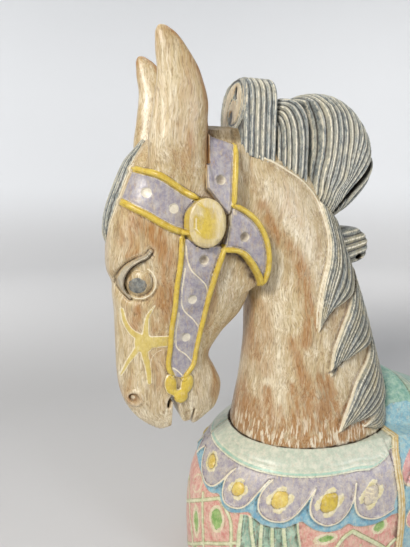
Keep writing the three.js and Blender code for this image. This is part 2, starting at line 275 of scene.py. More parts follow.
def joined(a: np.ndarray, b: np.ndarray, round_off: float = 0.0) -> np.ndarray:
    """Two forms as one, with a hollow of some radius where they meet."""
    if round_off <= 0:
        return np.minimum(a, b)
    share = np.clip(0.5 + 0.5 * (b - a) / round_off, 0.0, 1.0)
    return b + (a - b) * share - round_off * share * (1 - share)


def carved(form: np.ndarray, tool: np.ndarray, round_off: float = 0.0) -> np.ndarray:
    """A form with another cut out of it."""
    return -joined(-form, tool, round_off)


def pillow(outline: np.ndarray, half: np.ndarray | float, edge: float, y: np.ndarray,
           power: float = 2.2) -> np.ndarray:
    """Distance to a form that is flat-sided across the horse and rounded towards its outline.

    Args:
        outline: distance to the outline at each X and Z, less than 0 inside.
        half: half its thickness across the horse.
        edge: how far in from the outline the rounding reaches.
        y: places across the horse.
        power: 2 for a round edge, more for a squarer one.
    """
    rim = np.clip((edge + outline) / edge, 0.0, None)[:, None, :]
    side = np.abs(y) / half
    return ((rim ** power + side ** power) ** (1 / power) - 1) * np.minimum(half, edge)


# ---- drawings of relief and paint ---------------------------------------------------------------

@dataclass
class Drawing:
    """A flat sheet on which lines and outlines are kept as distances in mm."""

    low: tuple[float, float]
    high: tuple[float, float]
    step: float = 0.5
    layers: dict[str, np.ndarray] = field(default_factory=dict)

    def __post_init__(self) -> None:
        """Lays out the sheet's places."""
        self.u = np.arange(self.low[0], self.high[0] + self.step, self.step)
        self.v = np.arange(self.low[1], self.high[1] + self.step, self.step)

    def blank(self, value: float = FAR) -> np.ndarray:
        """A layer with the same value all over."""
        return np.full((len(self.u), len(self.v)), value, np.float32)

    def line(self, points: np.ndarray, start: float = 0.0, end: float | None = None) -> np.ndarray:
        """Distance to a line, less a half width that may taper from its start to its end."""
        end = start if end is None else end
        made = self.blank()
        count = len(points) - 1
        for k, (a, b) in enumerate(zip(points[:-1], points[1:])):
            lo, hi = np.minimum(a, b) - FAR / 2, np.maximum(a, b) + FAR / 2
            i = slice(*np.searchsorted(self.u, [lo[0], hi[0]]))
            j = slice(*np.searchsorted(self.v, [lo[1], hi[1]]))
            du, dv = self.u[i, None] - a[0], self.v[None, j] - a[1]
            along = b - a
            t = np.clip((du * along[0] + dv * along[1]) / max(float(along @ along), 1e-9), 0.0, 1.0)
            half = start + (end - start) * (k + t) / count
            gap = np.hypot(du - t * along[0], dv - t * along[1]) - half
            made[i, j] = np.minimum(made[i, j], gap)
        return made

    def outline(self, points: np.ndarray) -> np.ndarray:
        """Distance to a closed outline, less than 0 inside it."""
        ring = np.vstack([points, points[:1]])
        edge = self.line(ring)
        inside = np.zeros(edge.shape, bool)
        for a, b in zip(ring[:-1], ring[1:]):
            if a[1] == b[1]:
                continue
            j = (self.v > min(a[1], b[1])) & (self.v <= max(a[1], b[1]))
            cross = a[0] + (self.v[j] - a[1]) * (b[0] - a[0]) / (b[1] - a[1])
            inside[:, j] ^= self.u[:, None] < cross[None, :]
        return np.where(inside, -edge, edge)

    def oval(self, centre: Sequence[float], half_u: float, half_v: float | None = None,
             power: float = 2.0, turn: float = 0.0) -> np.ndarray:
        """Distance to an oval, less than 0 inside it. A turn is in degrees, to the left."""
        half_v = half_u if half_v is None else half_v
        du, dv = self.u[:, None] - centre[0], self.v[None, :] - centre[1]
        c, s = math.cos(math.radians(turn)), math.sin(math.radians(turn))
        u = np.abs(du * c + dv * s) / half_u
        v = np.abs(dv * c - du * s) / half_v
        size = (u ** power + v ** power) ** (1 / power)
        return np.clip((size - 1) * min(half_u, half_v), -FAR, FAR).astype(np.float32)

    def strokes(self, marks: Sequence[tuple[Points, float, float, float]], soft: float = 7.0) -> np.ndarray:
        """Soft strokes of a brush: line, half width at its start and end, and strength of each."""
        made = self.blank(0.0)
        for points, start, end, strength in marks:
            made = np.maximum(made, strength * ramp(self.line(curve(points), start, end), soft, -0.6 * soft))
        return made

    def fan(self, guides: Sequence[np.ndarray], along: int = 240, across: int = 240) -> np.ndarray:
        """How far across a fan of guide lines each place is, from 0 at the first to 1 at the last.

        Args:
            guides: lines of the same sense, from the roots to the tips.
            along: places tried along the lines.
            across: places tried from the first line to the last.

        Returns:
            The share across, spread outwards a little past the fan's edges.
        """
        lines = np.array([resampled(g, along) for g in guides])
        at = np.linspace(0, len(guides) - 1, across)
        k = np.clip(at.astype(int), 0, len(guides) - 2)
        share = (at - k)[:, None, None]
        spread = lines[k] * (1 - share) + lines[k + 1] * share
        i = np.round((spread[..., 0] - self.low[0]) / self.step).astype(int).ravel()
        j = np.round((spread[..., 1] - self.low[1]) / self.step).astype(int).ravel()
        value = np.repeat(at / (len(guides) - 1), along)
        kept = (i >= 0) & (i < len(self.u)) & (j >= 0) & (j < len(self.v))
        total, count = self.blank(0.0), self.blank(0.0)
        np.add.at(total, (i[kept], j[kept]), value[kept])
        np.add.at(count, (i[kept], j[kept]), 1.0)
        for _ in range(28):
            bare = count == 0
            if not bare.any():
                break
            near_total, near_count = np.zeros_like(total), np.zeros_like(count)
            mean = np.where(bare, 0.0, total / np.maximum(count, 1e-9))
            for du, dv in ((1, 0), (-1, 0), (0, 1), (0, -1)):
                near_total += np.roll(mean, (du, dv), (0, 1))
                near_count += np.roll(~bare, (du, dv), (0, 1))
            grown = bare & (near_count > 0)
            total[grown] = near_total[grown] / near_count[grown]
            count[grown] = 1.0
        return total / np.maximum(count, 1e-9)

    def at(self, layer: np.ndarray, u: np.ndarray, v: np.ndarray) -> np.ndarray:
        """A layer's value at any place, blended from the four round it."""
        i = np.clip((u - self.low[0]) / self.step, 0, len(self.u) - 1.001)
        j = np.clip((v - self.low[1]) / self.step, 0, len(self.v) - 1.001)
        i0, j0 = i.astype(int), j.astype(int)
        s, t = i - i0, j - j0
        return ((layer[i0, j0] * (1 - s) + layer[i0 + 1, j0] * s) * (1 - t)
                + (layer[i0, j0 + 1] * (1 - s) + layer[i0 + 1, j0 + 1] * s) * t)


# ---- meshes -------------------------------------------------------------------------------------

def hollowness(shell: Shell, rounds: Sequence[int] = (4, 40)) -> list[np.ndarray]:
    """How deep each point lies under the mean of its neighbourhood, in mm. Edges are below 0.

    Args:
        shell: the skin.
        rounds: how often the neighbours are averaged, for each answer: more reaches further.
    """
    faces = shell.faces
    edges = np.vstack([faces[:, [k, (k + 1) % faces.shape[1]]] for k in range(faces.shape[1])])
    a, b = edges[:, 0], edges[:, 1]
    count = np.bincount(a, minlength=len(shell.points)) + np.bincount(b, minlength=len(shell.points))
    corners = shell.points[faces]
    flat = np.cross(corners[:, 1] - corners[:, 0], corners[:, -1] - corners[:, 0])
    normal = np.zeros_like(shell.points)
    for k in range(3):
        for c in range(faces.shape[1]):
            normal[:, k] += np.bincount(faces[:, c], flat[:, k], len(normal))
    normal /= np.maximum(np.linalg.norm(normal, axis=1), 1e-9)[:, None]
    mean, made = shell.points.copy(), []
    for turn in range(max(rounds)):
        total = np.stack([np.bincount(a, mean[b, k], len(mean)) + np.bincount(b, mean[a, k], len(mean))
                          for k in range(3)], axis=1)
        mean = 0.5 * mean + 0.5 * total / np.maximum(count, 1)[:, None]
        if turn + 1 in rounds:
            made.append(np.einsum("ij,ij->i", mean - shell.points, normal))
    return made


def piece_of(name: str, shell: Shell, paint: dict[str, np.ndarray], finish: bpy.types.Material,
             stands_for: str) -> bpy.types.Object:
    """Puts a skin into the scene as a piece of the bust.

    Args:
        name: the piece's name.
        shell: its skin.
        paint: values at its points, by the name that the finish reads. Its "calm" says where
            the finish isn't rubbed or darkened with painted shade by the carving.
        finish: its material.
        stands_for: the node of the frame that it replaces.
    """
    mesh = bpy.data.meshes.new(name)
    mesh.from_pydata((shell.points * MM).tolist(), [], shell.faces.tolist())
    mesh.polygons.foreach_set("use_smooth", np.ones(len(mesh.polygons), bool))
    near, broad = hollowness(shell)
    near = near * (1 - paint.pop("calm", 0.0))
    # hollow drives worn edges and painted shade in small hollows, recess painted shade in broad ones, outline
    # painted shade lines along carved edges
    common = {"hollow": near, "recess": broad, "outline": np.full(len(near), FAR)}
    for label, values in {**common, **paint}.items():
        layer = mesh.attributes.new(label, "FLOAT", "POINT")
        layer.data.foreach_set("value", np.asarray(values, np.float32))
    mesh.materials.append(finish)
    made = bpy.data.objects.new(name, mesh)
    bpy.context.scene.collection.objects.link(made)
    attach(made, BUST)
    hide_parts(stands_for)
    LOG.info("%s: %d points, %d faces", name, len(shell.points), len(shell.faces))
    return made

# ---- finishes -----------------------------------------------------------------------------------

def linear(colour: str) -> tuple[float, float, float, float]:
    """An sRGB hex colour as the linear values that a shader takes."""
    parts = [int(colour[k:k + 2], 16) / 255 for k in (1, 3, 5)]
    return (*(p / 12.92 if p <= 0.04045 else ((p + 0.055) / 1.055) ** 2.4 for p in parts), 1.0)


class Shading:
    """A material's tree while it is being built."""

    def __init__(self, name: str) -> None:
        """Starts an empty material with its surface shader."""
        self.material = bpy.data.materials.new(name)
        self.material.use_nodes = True
        self.tree = self.material.node_tree
        self.tree.nodes.clear()
        self.shader = self.add("BsdfPrincipled")
        self.add("OutputMaterial", {}, {"Surface": self.shader.outputs[0]})
        self.place = self.add("TexCoord").outputs["Object"]

    def add(self, kind: str, settings: dict[str, object] | None = None,
            inputs: dict[str | int, object] | None = None) -> bpy.types.Node:
        """Adds a node.

        Args:
            kind: its type, without the word that every shader node's type starts with.
            settings: its own options.
            inputs: values for its inputs, or outputs of other nodes to link to them.
        """
        made = self.tree.nodes.new("ShaderNode" + kind)
        for label, value in (settings or {}).items():
            setattr(made, label, value)
        for label, value in (inputs or {}).items():
            if isinstance(value, bpy.types.NodeSocket):
                self.tree.links.new(value, made.inputs[label])
            else:
                made.inputs[label].default_value = value
        return made

    def maths(self, operation: str, a: object, b: object = 0.0, c: object = 0.0) -> bpy.types.NodeSocket:
        """The result of a sum on one to three numbers or outputs."""
        return self.add("Math", {"operation": operation}, {0: a, 1: b, 2: c}).outputs[0]

    def value_at(self, label: str) -> bpy.types.NodeSocket:
        """The number that the skin carries under a name."""
        return self.add("Attribute", {"attribute_name": label}).outputs["Fac"]

    def noise(self, size: float, stretch: Sequence[float] = (1, 1, 1), detail: float = 3.0,
              rough: float = 0.55, place: bpy.types.NodeSocket | None = None) -> bpy.types.NodeSocket:
        """Soft noise about 0.5, its blots a size in mm across and stretched along the axes."""
        turned = self.add("Mapping", {}, {"Vector": place or self.place,
                                          "Scale": tuple(1 / s for s in stretch)})
        made = self.add("TexNoise", {}, {"Vector": turned.outputs[0], "Scale": 1 / (size * MM),
                                         "Detail": detail, "Roughness": rough})
        return made.outputs[0]

    def between(self, value: bpy.types.NodeSocket, low: float, high: float) -> bpy.types.NodeSocket:
        """A smooth step of a number, from 0 at low to 1 at high."""
        kind = {"interpolation_type": "SMOOTHSTEP"}
        if low < high:
            return self.add("MapRange", kind, {0: value, 1: low, 2: high, 3: 0.0, 4: 1.0}).outputs[0]
        return self.add("MapRange", kind, {0: value, 1: high, 2: low, 3: 1.0, 4: 0.0}).outputs[0]

    def mixed(self, share: object, a: object, b: object, way: str = "MIX") -> bpy.types.NodeSocket:
        """Colour a, turned to colour b by a share. A colour may be an sRGB hex value."""
        a = linear(a) if isinstance(a, str) else a
        b = linear(b) if isinstance(b, str) else b
        made = self.add("Mix", {"data_type": "RGBA", "blend_type": way}, {"Factor": share})
        for socket, value in ((made.inputs[6], a), (made.inputs[7], b)):
            if isinstance(value, bpy.types.NodeSocket):
                self.tree.links.new(value, socket)
            else:
                socket.default_value = value
        return made.outputs[2]

    def shaded(self, share: object, a: object, b: object) -> bpy.types.NodeSocket:
        """Colour a multiplied by colour b by a share, as a thin glaze darkens wood, or as painted shade does.
        """
        return self.mixed(share, a, b, "MULTIPLY")


@dataclass(frozen=True)
class Paint:
    """One colour of casein paint, brushed on and rubbed back to the lime below it."""

    edge: str               # the distance that says where it lies
    colour: str
    deep: str               # the same paint where it lies thicker
    cover: float = 0.92     # how much of it is left on flat wood
    wobble: float = 0.5     # how far the brush strays from the edge, mm
    rubbed: float = 0.5     # how much of it is gone from sharp edges
    worn: float = 0.35      # how much of it is gone in the brushed-out places


@dataclass(frozen=True)
class LimedWood:
    """Jelutong, carved by hand, limed and wiped, with paint over it.

    The eye gets a warm tan with long fine pores full of white lime, paler worn edges, dirt and
    painted shade in the hollows, painted shade lines along carved edges, and a dull satin sheen from the wax.
    """

    name: str
    wood: str = "#bba678"
    warm: str = "#a3743d"
    lime: str = "#ebe2cb"
    # colour of the dirt and painted shade laid into the carving's hollows
    hollow: str = "#5d4630"
    pore: float = 1.5       # width of a limed pore, mm, drawn coarser than it is so that it shows
    slate: tuple[str, str] = ("#9da19c", "#5f676a")
    bleached: str = "#c2bba3"
    paints: tuple[Paint, ...] = ()
    hair: bool = False

    def material(self) -> bpy.types.Material:
        """Builds the shader."""
        s = Shading(self.name)
        hollow, broad = s.value_at("hollow"), s.value_at("recess")
        swirl = s.add("TexNoise", {}, {"Vector": s.place, "Scale": 1 / (38 * MM), "Detail": 1.0})
        lean = s.add("VectorMath", {"operation": "MULTIPLY_ADD"},
                     {0: swirl.outputs["Color"], 1: (0.016, 0.016, 0.006), 2: s.place}).outputs[0]
        pores = s.noise(self.pore, (1.0, 1.0, 11.0), 3.0, 0.65, lean)
        ticks = s.noise(self.pore * 0.8, (1.0, 1.0, 7.0), 2.0, 0.6, lean)
        strands = s.noise(self.pore * 2.8, (1.0, 1.0, 10.0), 4.0, 0.72, lean)
        bands = s.noise(8.0, (1.0, 1.0, 7.0), 5.0, 0.66, lean)
        streaks = s.noise(3.2, (1.0, 1.0, 20.0), 2.0, 0.6)
        blots = s.noise(40.0, (1.0, 1.0, 1.7), 3.0, 0.55)
        patches = s.noise(14.0, (1.0, 1.0, 2.4), 5.0, 0.66)
        wash, warm, drip = s.value_at("wash"), s.value_at("warm"), s.value_at("drip")
        bare = s.maths("MULTIPLY", warm, s.between(s.maths("MULTIPLY_ADD", strands, 0.7, s.maths(
            "MULTIPLY", patches, 0.3)), 0.35, 0.52))
        warmth = s.maths("MULTIPLY_ADD", s.between(blots, 0.42, 0.66), 0.2,
                         s.maths("MULTIPLY", s.between(strands, 0.42, 0.66), 0.2))
        warmth = s.maths("MULTIPLY_ADD", s.between(bands, 0.5, 0.64), 0.4, warmth)
        warmth = s.maths("MULTIPLY", warmth, s.maths("SUBTRACT", 1.0, s.maths("MULTIPLY", wash, 0.6)))
        warmth = s.maths("MINIMUM", s.maths("ADD", warmth, bare), 1.0)
        colour = s.mixed(warmth, self.wood, self.warm)
        fine = s.maths("MULTIPLY_ADD", s.between(ticks, 0.52, 0.7), 0.3, s.between(pores, 0.44, 0.68))
        veil = s.maths("MULTIPLY_ADD", wash, 1.3, s.maths("MULTIPLY", s.between(patches, 0.42, 0.68), 0.4))
        veil = s.maths("MULTIPLY_ADD", s.between(bands, 0.52, 0.36), 0.7, veil)
        share = s.maths("MULTIPLY", fine, s.maths("MULTIPLY_ADD", veil, 0.24, 0.2))
        share = s.maths("MULTIPLY_ADD", veil, 0.33, share)
        share = s.maths("MULTIPLY", share, s.maths("SUBTRACT", 1.0, s.maths("MULTIPLY", bare, 0.8)))
        share = s.maths("MAXIMUM", share, s.maths("MULTIPLY", s.maths("MULTIPLY", drip, 0.85),
                                                  s.between(streaks, 0.48, 0.6)))
        colour = s.mixed(s.maths("MINIMUM", share, 0.94), colour, self.lime)
        colour = s.shaded(s.maths("MULTIPLY", s.between(ticks, 0.48, 0.34), 0.42), colour, "#83663f")
        colour = s.shaded(s.maths("MULTIPLY", s.between(strands, 0.47, 0.35), 0.38), colour, "#96754c")
        grime = s.between(s.noise(23.0, (1, 1, 1.6), 5.0, 0.7), 0.48, 0.7)
        colour = s.shaded(s.maths("MULTIPLY", grime, 0.3), colour, "#a98c66")
        worn = s.maths("MULTIPLY", s.between(hollow, -0.1, -0.45), 0.45)
        colour = s.mixed(worn, colour, self.lime)
        if self.hair:
            colour = self.combed(s, colour)
        for paint in self.paints:
            colour = self.painted(s, paint, colour, hollow)
        # painted shade, with some dirt, in the carving's small and broad hollows
        colour = s.shaded(s.maths("MULTIPLY", s.between(hollow, 0.08, 0.5), 0.75), colour, self.hollow)
        colour = s.shaded(s.maths("MULTIPLY", s.between(broad, 0.35, 2.2), 0.6), colour, "#7a5c42")
        # dark stains and glue seams, together with painted shadows and painted shade in deep holes and cuts
        colour = s.shaded(s.between(s.value_at("stain"), 0.0, 1.0), colour, "#4b3623")
        # painted shade lines along carved edges, broken up a little
        broken = s.between(s.noise(3.0, detail=3.0), 0.3, 0.55)
        edge_shade = s.maths("MULTIPLY", s.between(s.value_at("outline"), 0.75, 0.1),
                        s.maths("MULTIPLY", broken, 0.6))
        colour = s.shaded(edge_shade, colour, "#5b4836")
        s.tree.links.new(colour, s.shader.inputs["Base Color"])
        dull = s.maths("MULTIPLY_ADD", pores, 0.18, 0.23)
        s.tree.links.new(dull, s.shader.inputs["Roughness"])
        s.shader.inputs["Specular IOR Level"].default_value = 0.45
        rise = s.maths("MULTIPLY_ADD", pores, 0.5, s.maths("MULTIPLY", strands, 0.6))
        bump = s.add("Bump", {}, {"Height": rise, "Distance": 0.0006, "Strength": 0.6})
        s.tree.links.new(bump.outputs[0], s.shader.inputs["Normal"])
        return s.material

    def combed(self, s: Shading, under: object) -> bpy.types.NodeSocket:
        """Hair: blue-grey paint in the grooves of carved ribs, rubbed to cream along their crests, with
        painted shade deep in the grooves.
        """
        rib = s.value_at("rib")
        crest = s.maths("ABSOLUTE", s.maths("SINE", s.maths("MULTIPLY", rib, math.pi)))
        number = s.maths("FLOOR", rib)
        tone = s.add("TexWhiteNoise", {"noise_dimensions": "1D"}, {"W": number}).outputs["Value"]
        brush = s.noise(2.0, (1, 1, 3.0), 4.0, 0.7)
        crest = s.maths("ADD", crest, s.maths("MULTIPLY_ADD", brush, 0.5, -0.25))
        slate = s.mixed(s.between(s.noise(3.2, (1, 1, 2.4), 5.0, 0.75), 0.38, 0.62), *self.slate)
        pale = s.maths("MULTIPLY_ADD", s.between(s.noise(12.0, (1, 1, 2.0), 4.0, 0.7), 0.45, 0.68), 0.55,
                       s.maths("MULTIPLY", s.between(tone, 0.45, 0.95), 0.3))
        slate = s.mixed(pale, slate, self.bleached)
        limed = s.maths("MULTIPLY_ADD", tone, 0.35, 0.65)
        line = s.maths("MULTIPLY", s.between(crest, 0.91, 1.02), limed)
        hair = s.mixed(line, slate, "#ebe3cc")
        # painted shade at the bottom of each groove
        hair = s.mixed(s.maths("MULTIPLY", s.between(crest, 0.45, 0.1), 0.9), hair, "#3f3c39")
        lies = s.between(s.value_at("hair"), 0.35, -0.35)
        return s.mixed(lies, under, hair)

    def painted(self, s: Shading, paint: Paint, under: object, hollow: object) -> bpy.types.NodeSocket:
        """A layer of paint over what lies under it."""
        stray = s.maths("MULTIPLY_ADD", s.noise(4.0, detail=2.0), 2 * paint.wobble, -paint.wobble)
        edge = s.maths("ADD", s.value_at(paint.edge), stray)
        share = s.between(edge, 0.35, -0.35)
        thin = s.between(s.noise(3.2, (1, 1, 3.0), 5.0, 0.75), 0.46, 0.7)
        left = s.maths("SUBTRACT", paint.cover, s.maths("MULTIPLY", thin, paint.worn))
        rubbed = s.maths("MULTIPLY", s.between(hollow, -0.15, -0.5), paint.rubbed)
        left = s.maths("SUBTRACT", left, rubbed)
        tone = s.mixed(s.between(s.noise(7.0, detail=5.0, rough=0.75), 0.35, 0.65), paint.colour, paint.deep)
        return s.mixed(s.maths("MULTIPLY", share, s.maths("MAXIMUM", left, 0.0)), under, tone)


# ---- paints, in the order in which they lie on each other --------------------------------------

CREAM = Paint("cream", "#efe7d0", "#e0d5b8", wobble=0.25, rubbed=0.0)
FACE_PAINTS = (
    Paint("brow", "#b7b1a0", "#8b877c", cover=0.75, rubbed=0.2, worn=0.6),
    Paint("lavender", "#aeabb0", "#83829a", cover=0.86, worn=0.5),
    Paint("stud", "#e2dbc8", "#cfc7b5", rubbed=0.1, worn=0.15),
    Paint("yellow", "#d8bf47", "#c2a32e", rubbed=0.5),
    Paint("star", "#d8c679", "#c8b052", cover=0.85),
    CREAM,
    Paint("pupil", "#8a8f8e", "#4a5257", wobble=1.3, rubbed=0.1),
)
CLOTH_PAINTS = (
    Paint("pink", "#e6bcac", "#d27d7b", cover=0.82, worn=0.75),
    Paint("teal", "#b2dcc6", "#7cc0ab", cover=0.82, worn=0.65),
    Paint("halo", "#e9e2c6", "#d6d6ac", cover=0.8, wobble=2.2, rubbed=0.1, worn=0.5),
    Paint("green", "#9cc072", "#5f9a3f", cover=0.9, wobble=1.6, worn=0.4),
    Paint("rose", "#e7dcc0", "#c9cba0", cover=0.8, worn=0.5),
    Paint("olive", "#b6bd8c", "#93a06a", cover=0.75, wobble=0.9, rubbed=0.1, worn=0.5),
    Paint("lines", "#e8e6c8", "#c3cfa0", rubbed=0.1, worn=0.3),
    Paint("lilac", "#c0bab8", "#8f8ba3", cover=0.86, worn=0.6),
    Paint("blue", "#9cc6cc", "#62a2bd", cover=0.88, worn=0.4),
    Paint("celadon", "#dadcc9", "#bccbb4", cover=0.85, worn=0.4),
    Paint("rim", "#a9cdb8", "#8dbfac", cover=0.8, worn=0.5),
    Paint("rim_light", "#e6e4cb", "#d6d6b9", cover=0.9, rubbed=0.0),
    Paint("ribbon", "#efe6ce", "#ded2b2", wobble=0.3, rubbed=0.0, worn=0.15),
    Paint("petal", "#ece5c6", "#dccf8c", cover=0.85, rubbed=0.1, wobble=2.4, worn=0.5),
    Paint("heart", "#e3cf71", "#cfae41", rubbed=0.3),
    Paint("deep_heart", "#d3bb3f", "#b79a26", rubbed=0.2),
    Paint("faded_heart", "#d9cdb0", "#b3a9a0", rubbed=0.1, worn=0.5),
    Paint("ringed", "#dfa79b", "#cc8480", worn=0.45),
    Paint("ring_eye", "#b9b4b8", "#948ea3"),
    Paint("ring_edge", "#ece3c8", "#dcd0ad", rubbed=0.0),
    Paint("seat", "#9db9a2", "#6a9781", cover=0.86, worn=0.5),
    Paint("trim", "#e8dfc0", "#d9c488", cover=0.9, rubbed=0.2, worn=0.4),
    Paint("trim_line", "#c9a659", "#b08a3e", cover=0.8, worn=0.5),
)


# ---- what repeats or follows the surface --------------------------------------------------------

class Tree:
    """A tree of geometry nodes while it is being built, and the modifier that runs it."""

    def __init__(self, name: str, sizes: dict[str, float]) -> None:
        """Starts a tree with an input for each named size."""
        self.group = bpy.data.node_groups.new(name, "GeometryNodeTree")
        sockets = self.group.interface
        sockets.new_socket("Geometry", in_out="INPUT", socket_type="NodeSocketGeometry")
        self.keys = {label: sockets.new_socket(label, in_out="INPUT",
                                               socket_type="NodeSocketFloat").identifier
                     for label in sizes}
        sockets.new_socket("Geometry", in_out="OUTPUT", socket_type="NodeSocketGeometry")
        self.sizes = sizes
        self.start = self.add("NodeGroupInput")

    def add(self, kind: str, settings: dict[str, object] | None = None,
            inputs: dict[str | int, object] | None = None) -> bpy.types.Node:
        """Adds a node with its own options and its inputs' values or links."""
        made = self.group.nodes.new(kind)
        for label, value in (settings or {}).items():
            setattr(made, label, value)
        for label, value in (inputs or {}).items():
            if isinstance(value, bpy.types.NodeSocket):
                self.group.links.new(value, made.inputs[label])
            else:
                made.inputs[label].default_value = value
        return made

    def carried(self, label: str, kind: str = "FLOAT") -> bpy.types.NodeSocket:
        """The attribute that the base mesh carries under a name."""
        return self.add("GeometryNodeInputNamedAttribute", {"data_type": kind}, {"Name": label}).outputs[0]

    def grown(self, geometry: bpy.types.NodeSocket, base: bpy.types.Mesh,
              finish: bpy.types.Material) -> "Shell":
        """Ends the tree, runs it on a base mesh, and takes the result as a skin.

        Args:
            geometry: what the tree has made.
            base: the mesh that it starts from, in metres.
            finish: the material of what it makes.
        """
        real = self.add("GeometryNodeRealizeInstances", {}, {"Geometry": geometry}).outputs[0]
        done = self.add("GeometryNodeSetMaterial", {}, {"Geometry": real, "Material": finish}).outputs[0]
        self.add("NodeGroupOutput", {}, {"Geometry": done})
        seedling = bpy.data.objects.new(self.group.name, base)
        bpy.context.scene.collection.objects.link(seedling)
        modifier = seedling.modifiers.new(self.group.name, "NODES")
        modifier.node_group = self.group
        for label, key in self.keys.items():
            modifier[key] = self.sizes[label]
        ready = seedling.evaluated_get(bpy.context.evaluated_depsgraph_get())
        mesh = bpy.data.meshes.new_from_object(ready)
        seedling.modifiers.clear()
        bpy.data.objects.remove(seedling)
        mesh.calc_loop_triangles()
        points = np.empty(len(mesh.vertices) * 3)
        mesh.vertices.foreach_get("co", points)
        faces = np.empty(len(mesh.loop_triangles) * 3, int)
        mesh.loop_triangles.foreach_get("vertices", faces)
        return Shell(points.reshape(-1, 3) / MM, faces.reshape(-1, 3))


def cords(name: str, lines: Sequence[np.ndarray], half: float, finish: bpy.types.Material) -> Shell:
    """Rounded ridges that follow lines, tapered at both ends.

    Args:
        name: what the tree is called.
        lines: each line's points in mm, with their share of the full width in a fourth column.
        half: half the width of a ridge, mm.
        finish: its material.
    """
    tree = Tree(name, {"Half width": half * MM})
    base = bpy.data.meshes.new(name)
    first = np.cumsum([0, *(len(line) for line in lines)])
    edges = [(k, k + 1) for start, line in zip(first, lines) for k in range(start, start + len(line) - 1)]
    every = np.vstack(lines)
    base.from_pydata((every[:, :3] * MM).tolist(), edges, [])
    base.attributes.new("share", "FLOAT", "POINT").data.foreach_set("value", every[:, 3].astype(np.float32))
    path = tree.add("GeometryNodeMeshToCurve", {}, {"Mesh": tree.start.outputs["Geometry"]}).outputs[0]
    ring = tree.add("GeometryNodeCurvePrimitiveCircle", {}, {"Resolution": 14,
                                                             "Radius": tree.start.outputs["Half width"]})
    swept = tree.add("GeometryNodeCurveToMesh", {}, {
        "Curve": path, "Profile Curve": ring.outputs[0], "Scale": tree.carried("share"), "Fill Caps": True})
    return tree.grown(swept.outputs[0], base, finish)


def buttons(name: str, places: np.ndarray, facing: np.ndarray, sizes: np.ndarray,
            finish: bpy.types.Material) -> Shell:
    """Low round domes set on a surface.

    Args:
        name: what the tree is called.
        places: the middle of each, mm.
        facing: the way that each looks.
        sizes: half the length, half the width and the height of each, mm.
        finish: their material.
    """
    tree = Tree(name, {"Radius": 1.0})
    base = bpy.data.meshes.new(name)
    base.from_pydata((places * MM).tolist(), [], [])
    for label, values in (("facing", facing), ("size", sizes * MM)):
        layer = base.attributes.new(label, "FLOAT_VECTOR", "POINT")
        layer.data.foreach_set("vector", values.astype(np.float32).ravel())
    seat = tree.add("GeometryNodeMeshToPoints", {}, {"Mesh": tree.start.outputs["Geometry"]}).outputs[0]
    round_one = tree.add("GeometryNodeMeshUVSphere", {}, {"Segments": 32, "Rings": 16,
                                                          "Radius": tree.start.outputs["Radius"]})
    turned = tree.add("FunctionNodeAlignRotationToVector", {"axis": "Z"},
                      {"Vector": tree.carried("facing", "FLOAT_VECTOR")})
    placed = tree.add("GeometryNodeInstanceOnPoints", {}, {
        "Points": seat, "Instance": round_one.outputs[0], "Rotation": turned.outputs[0],
        "Scale": tree.carried("size", "FLOAT_VECTOR")})
    return tree.grown(placed.outputs[0], base, finish)

# ---- the head -----------------------------------------------------------------------------------

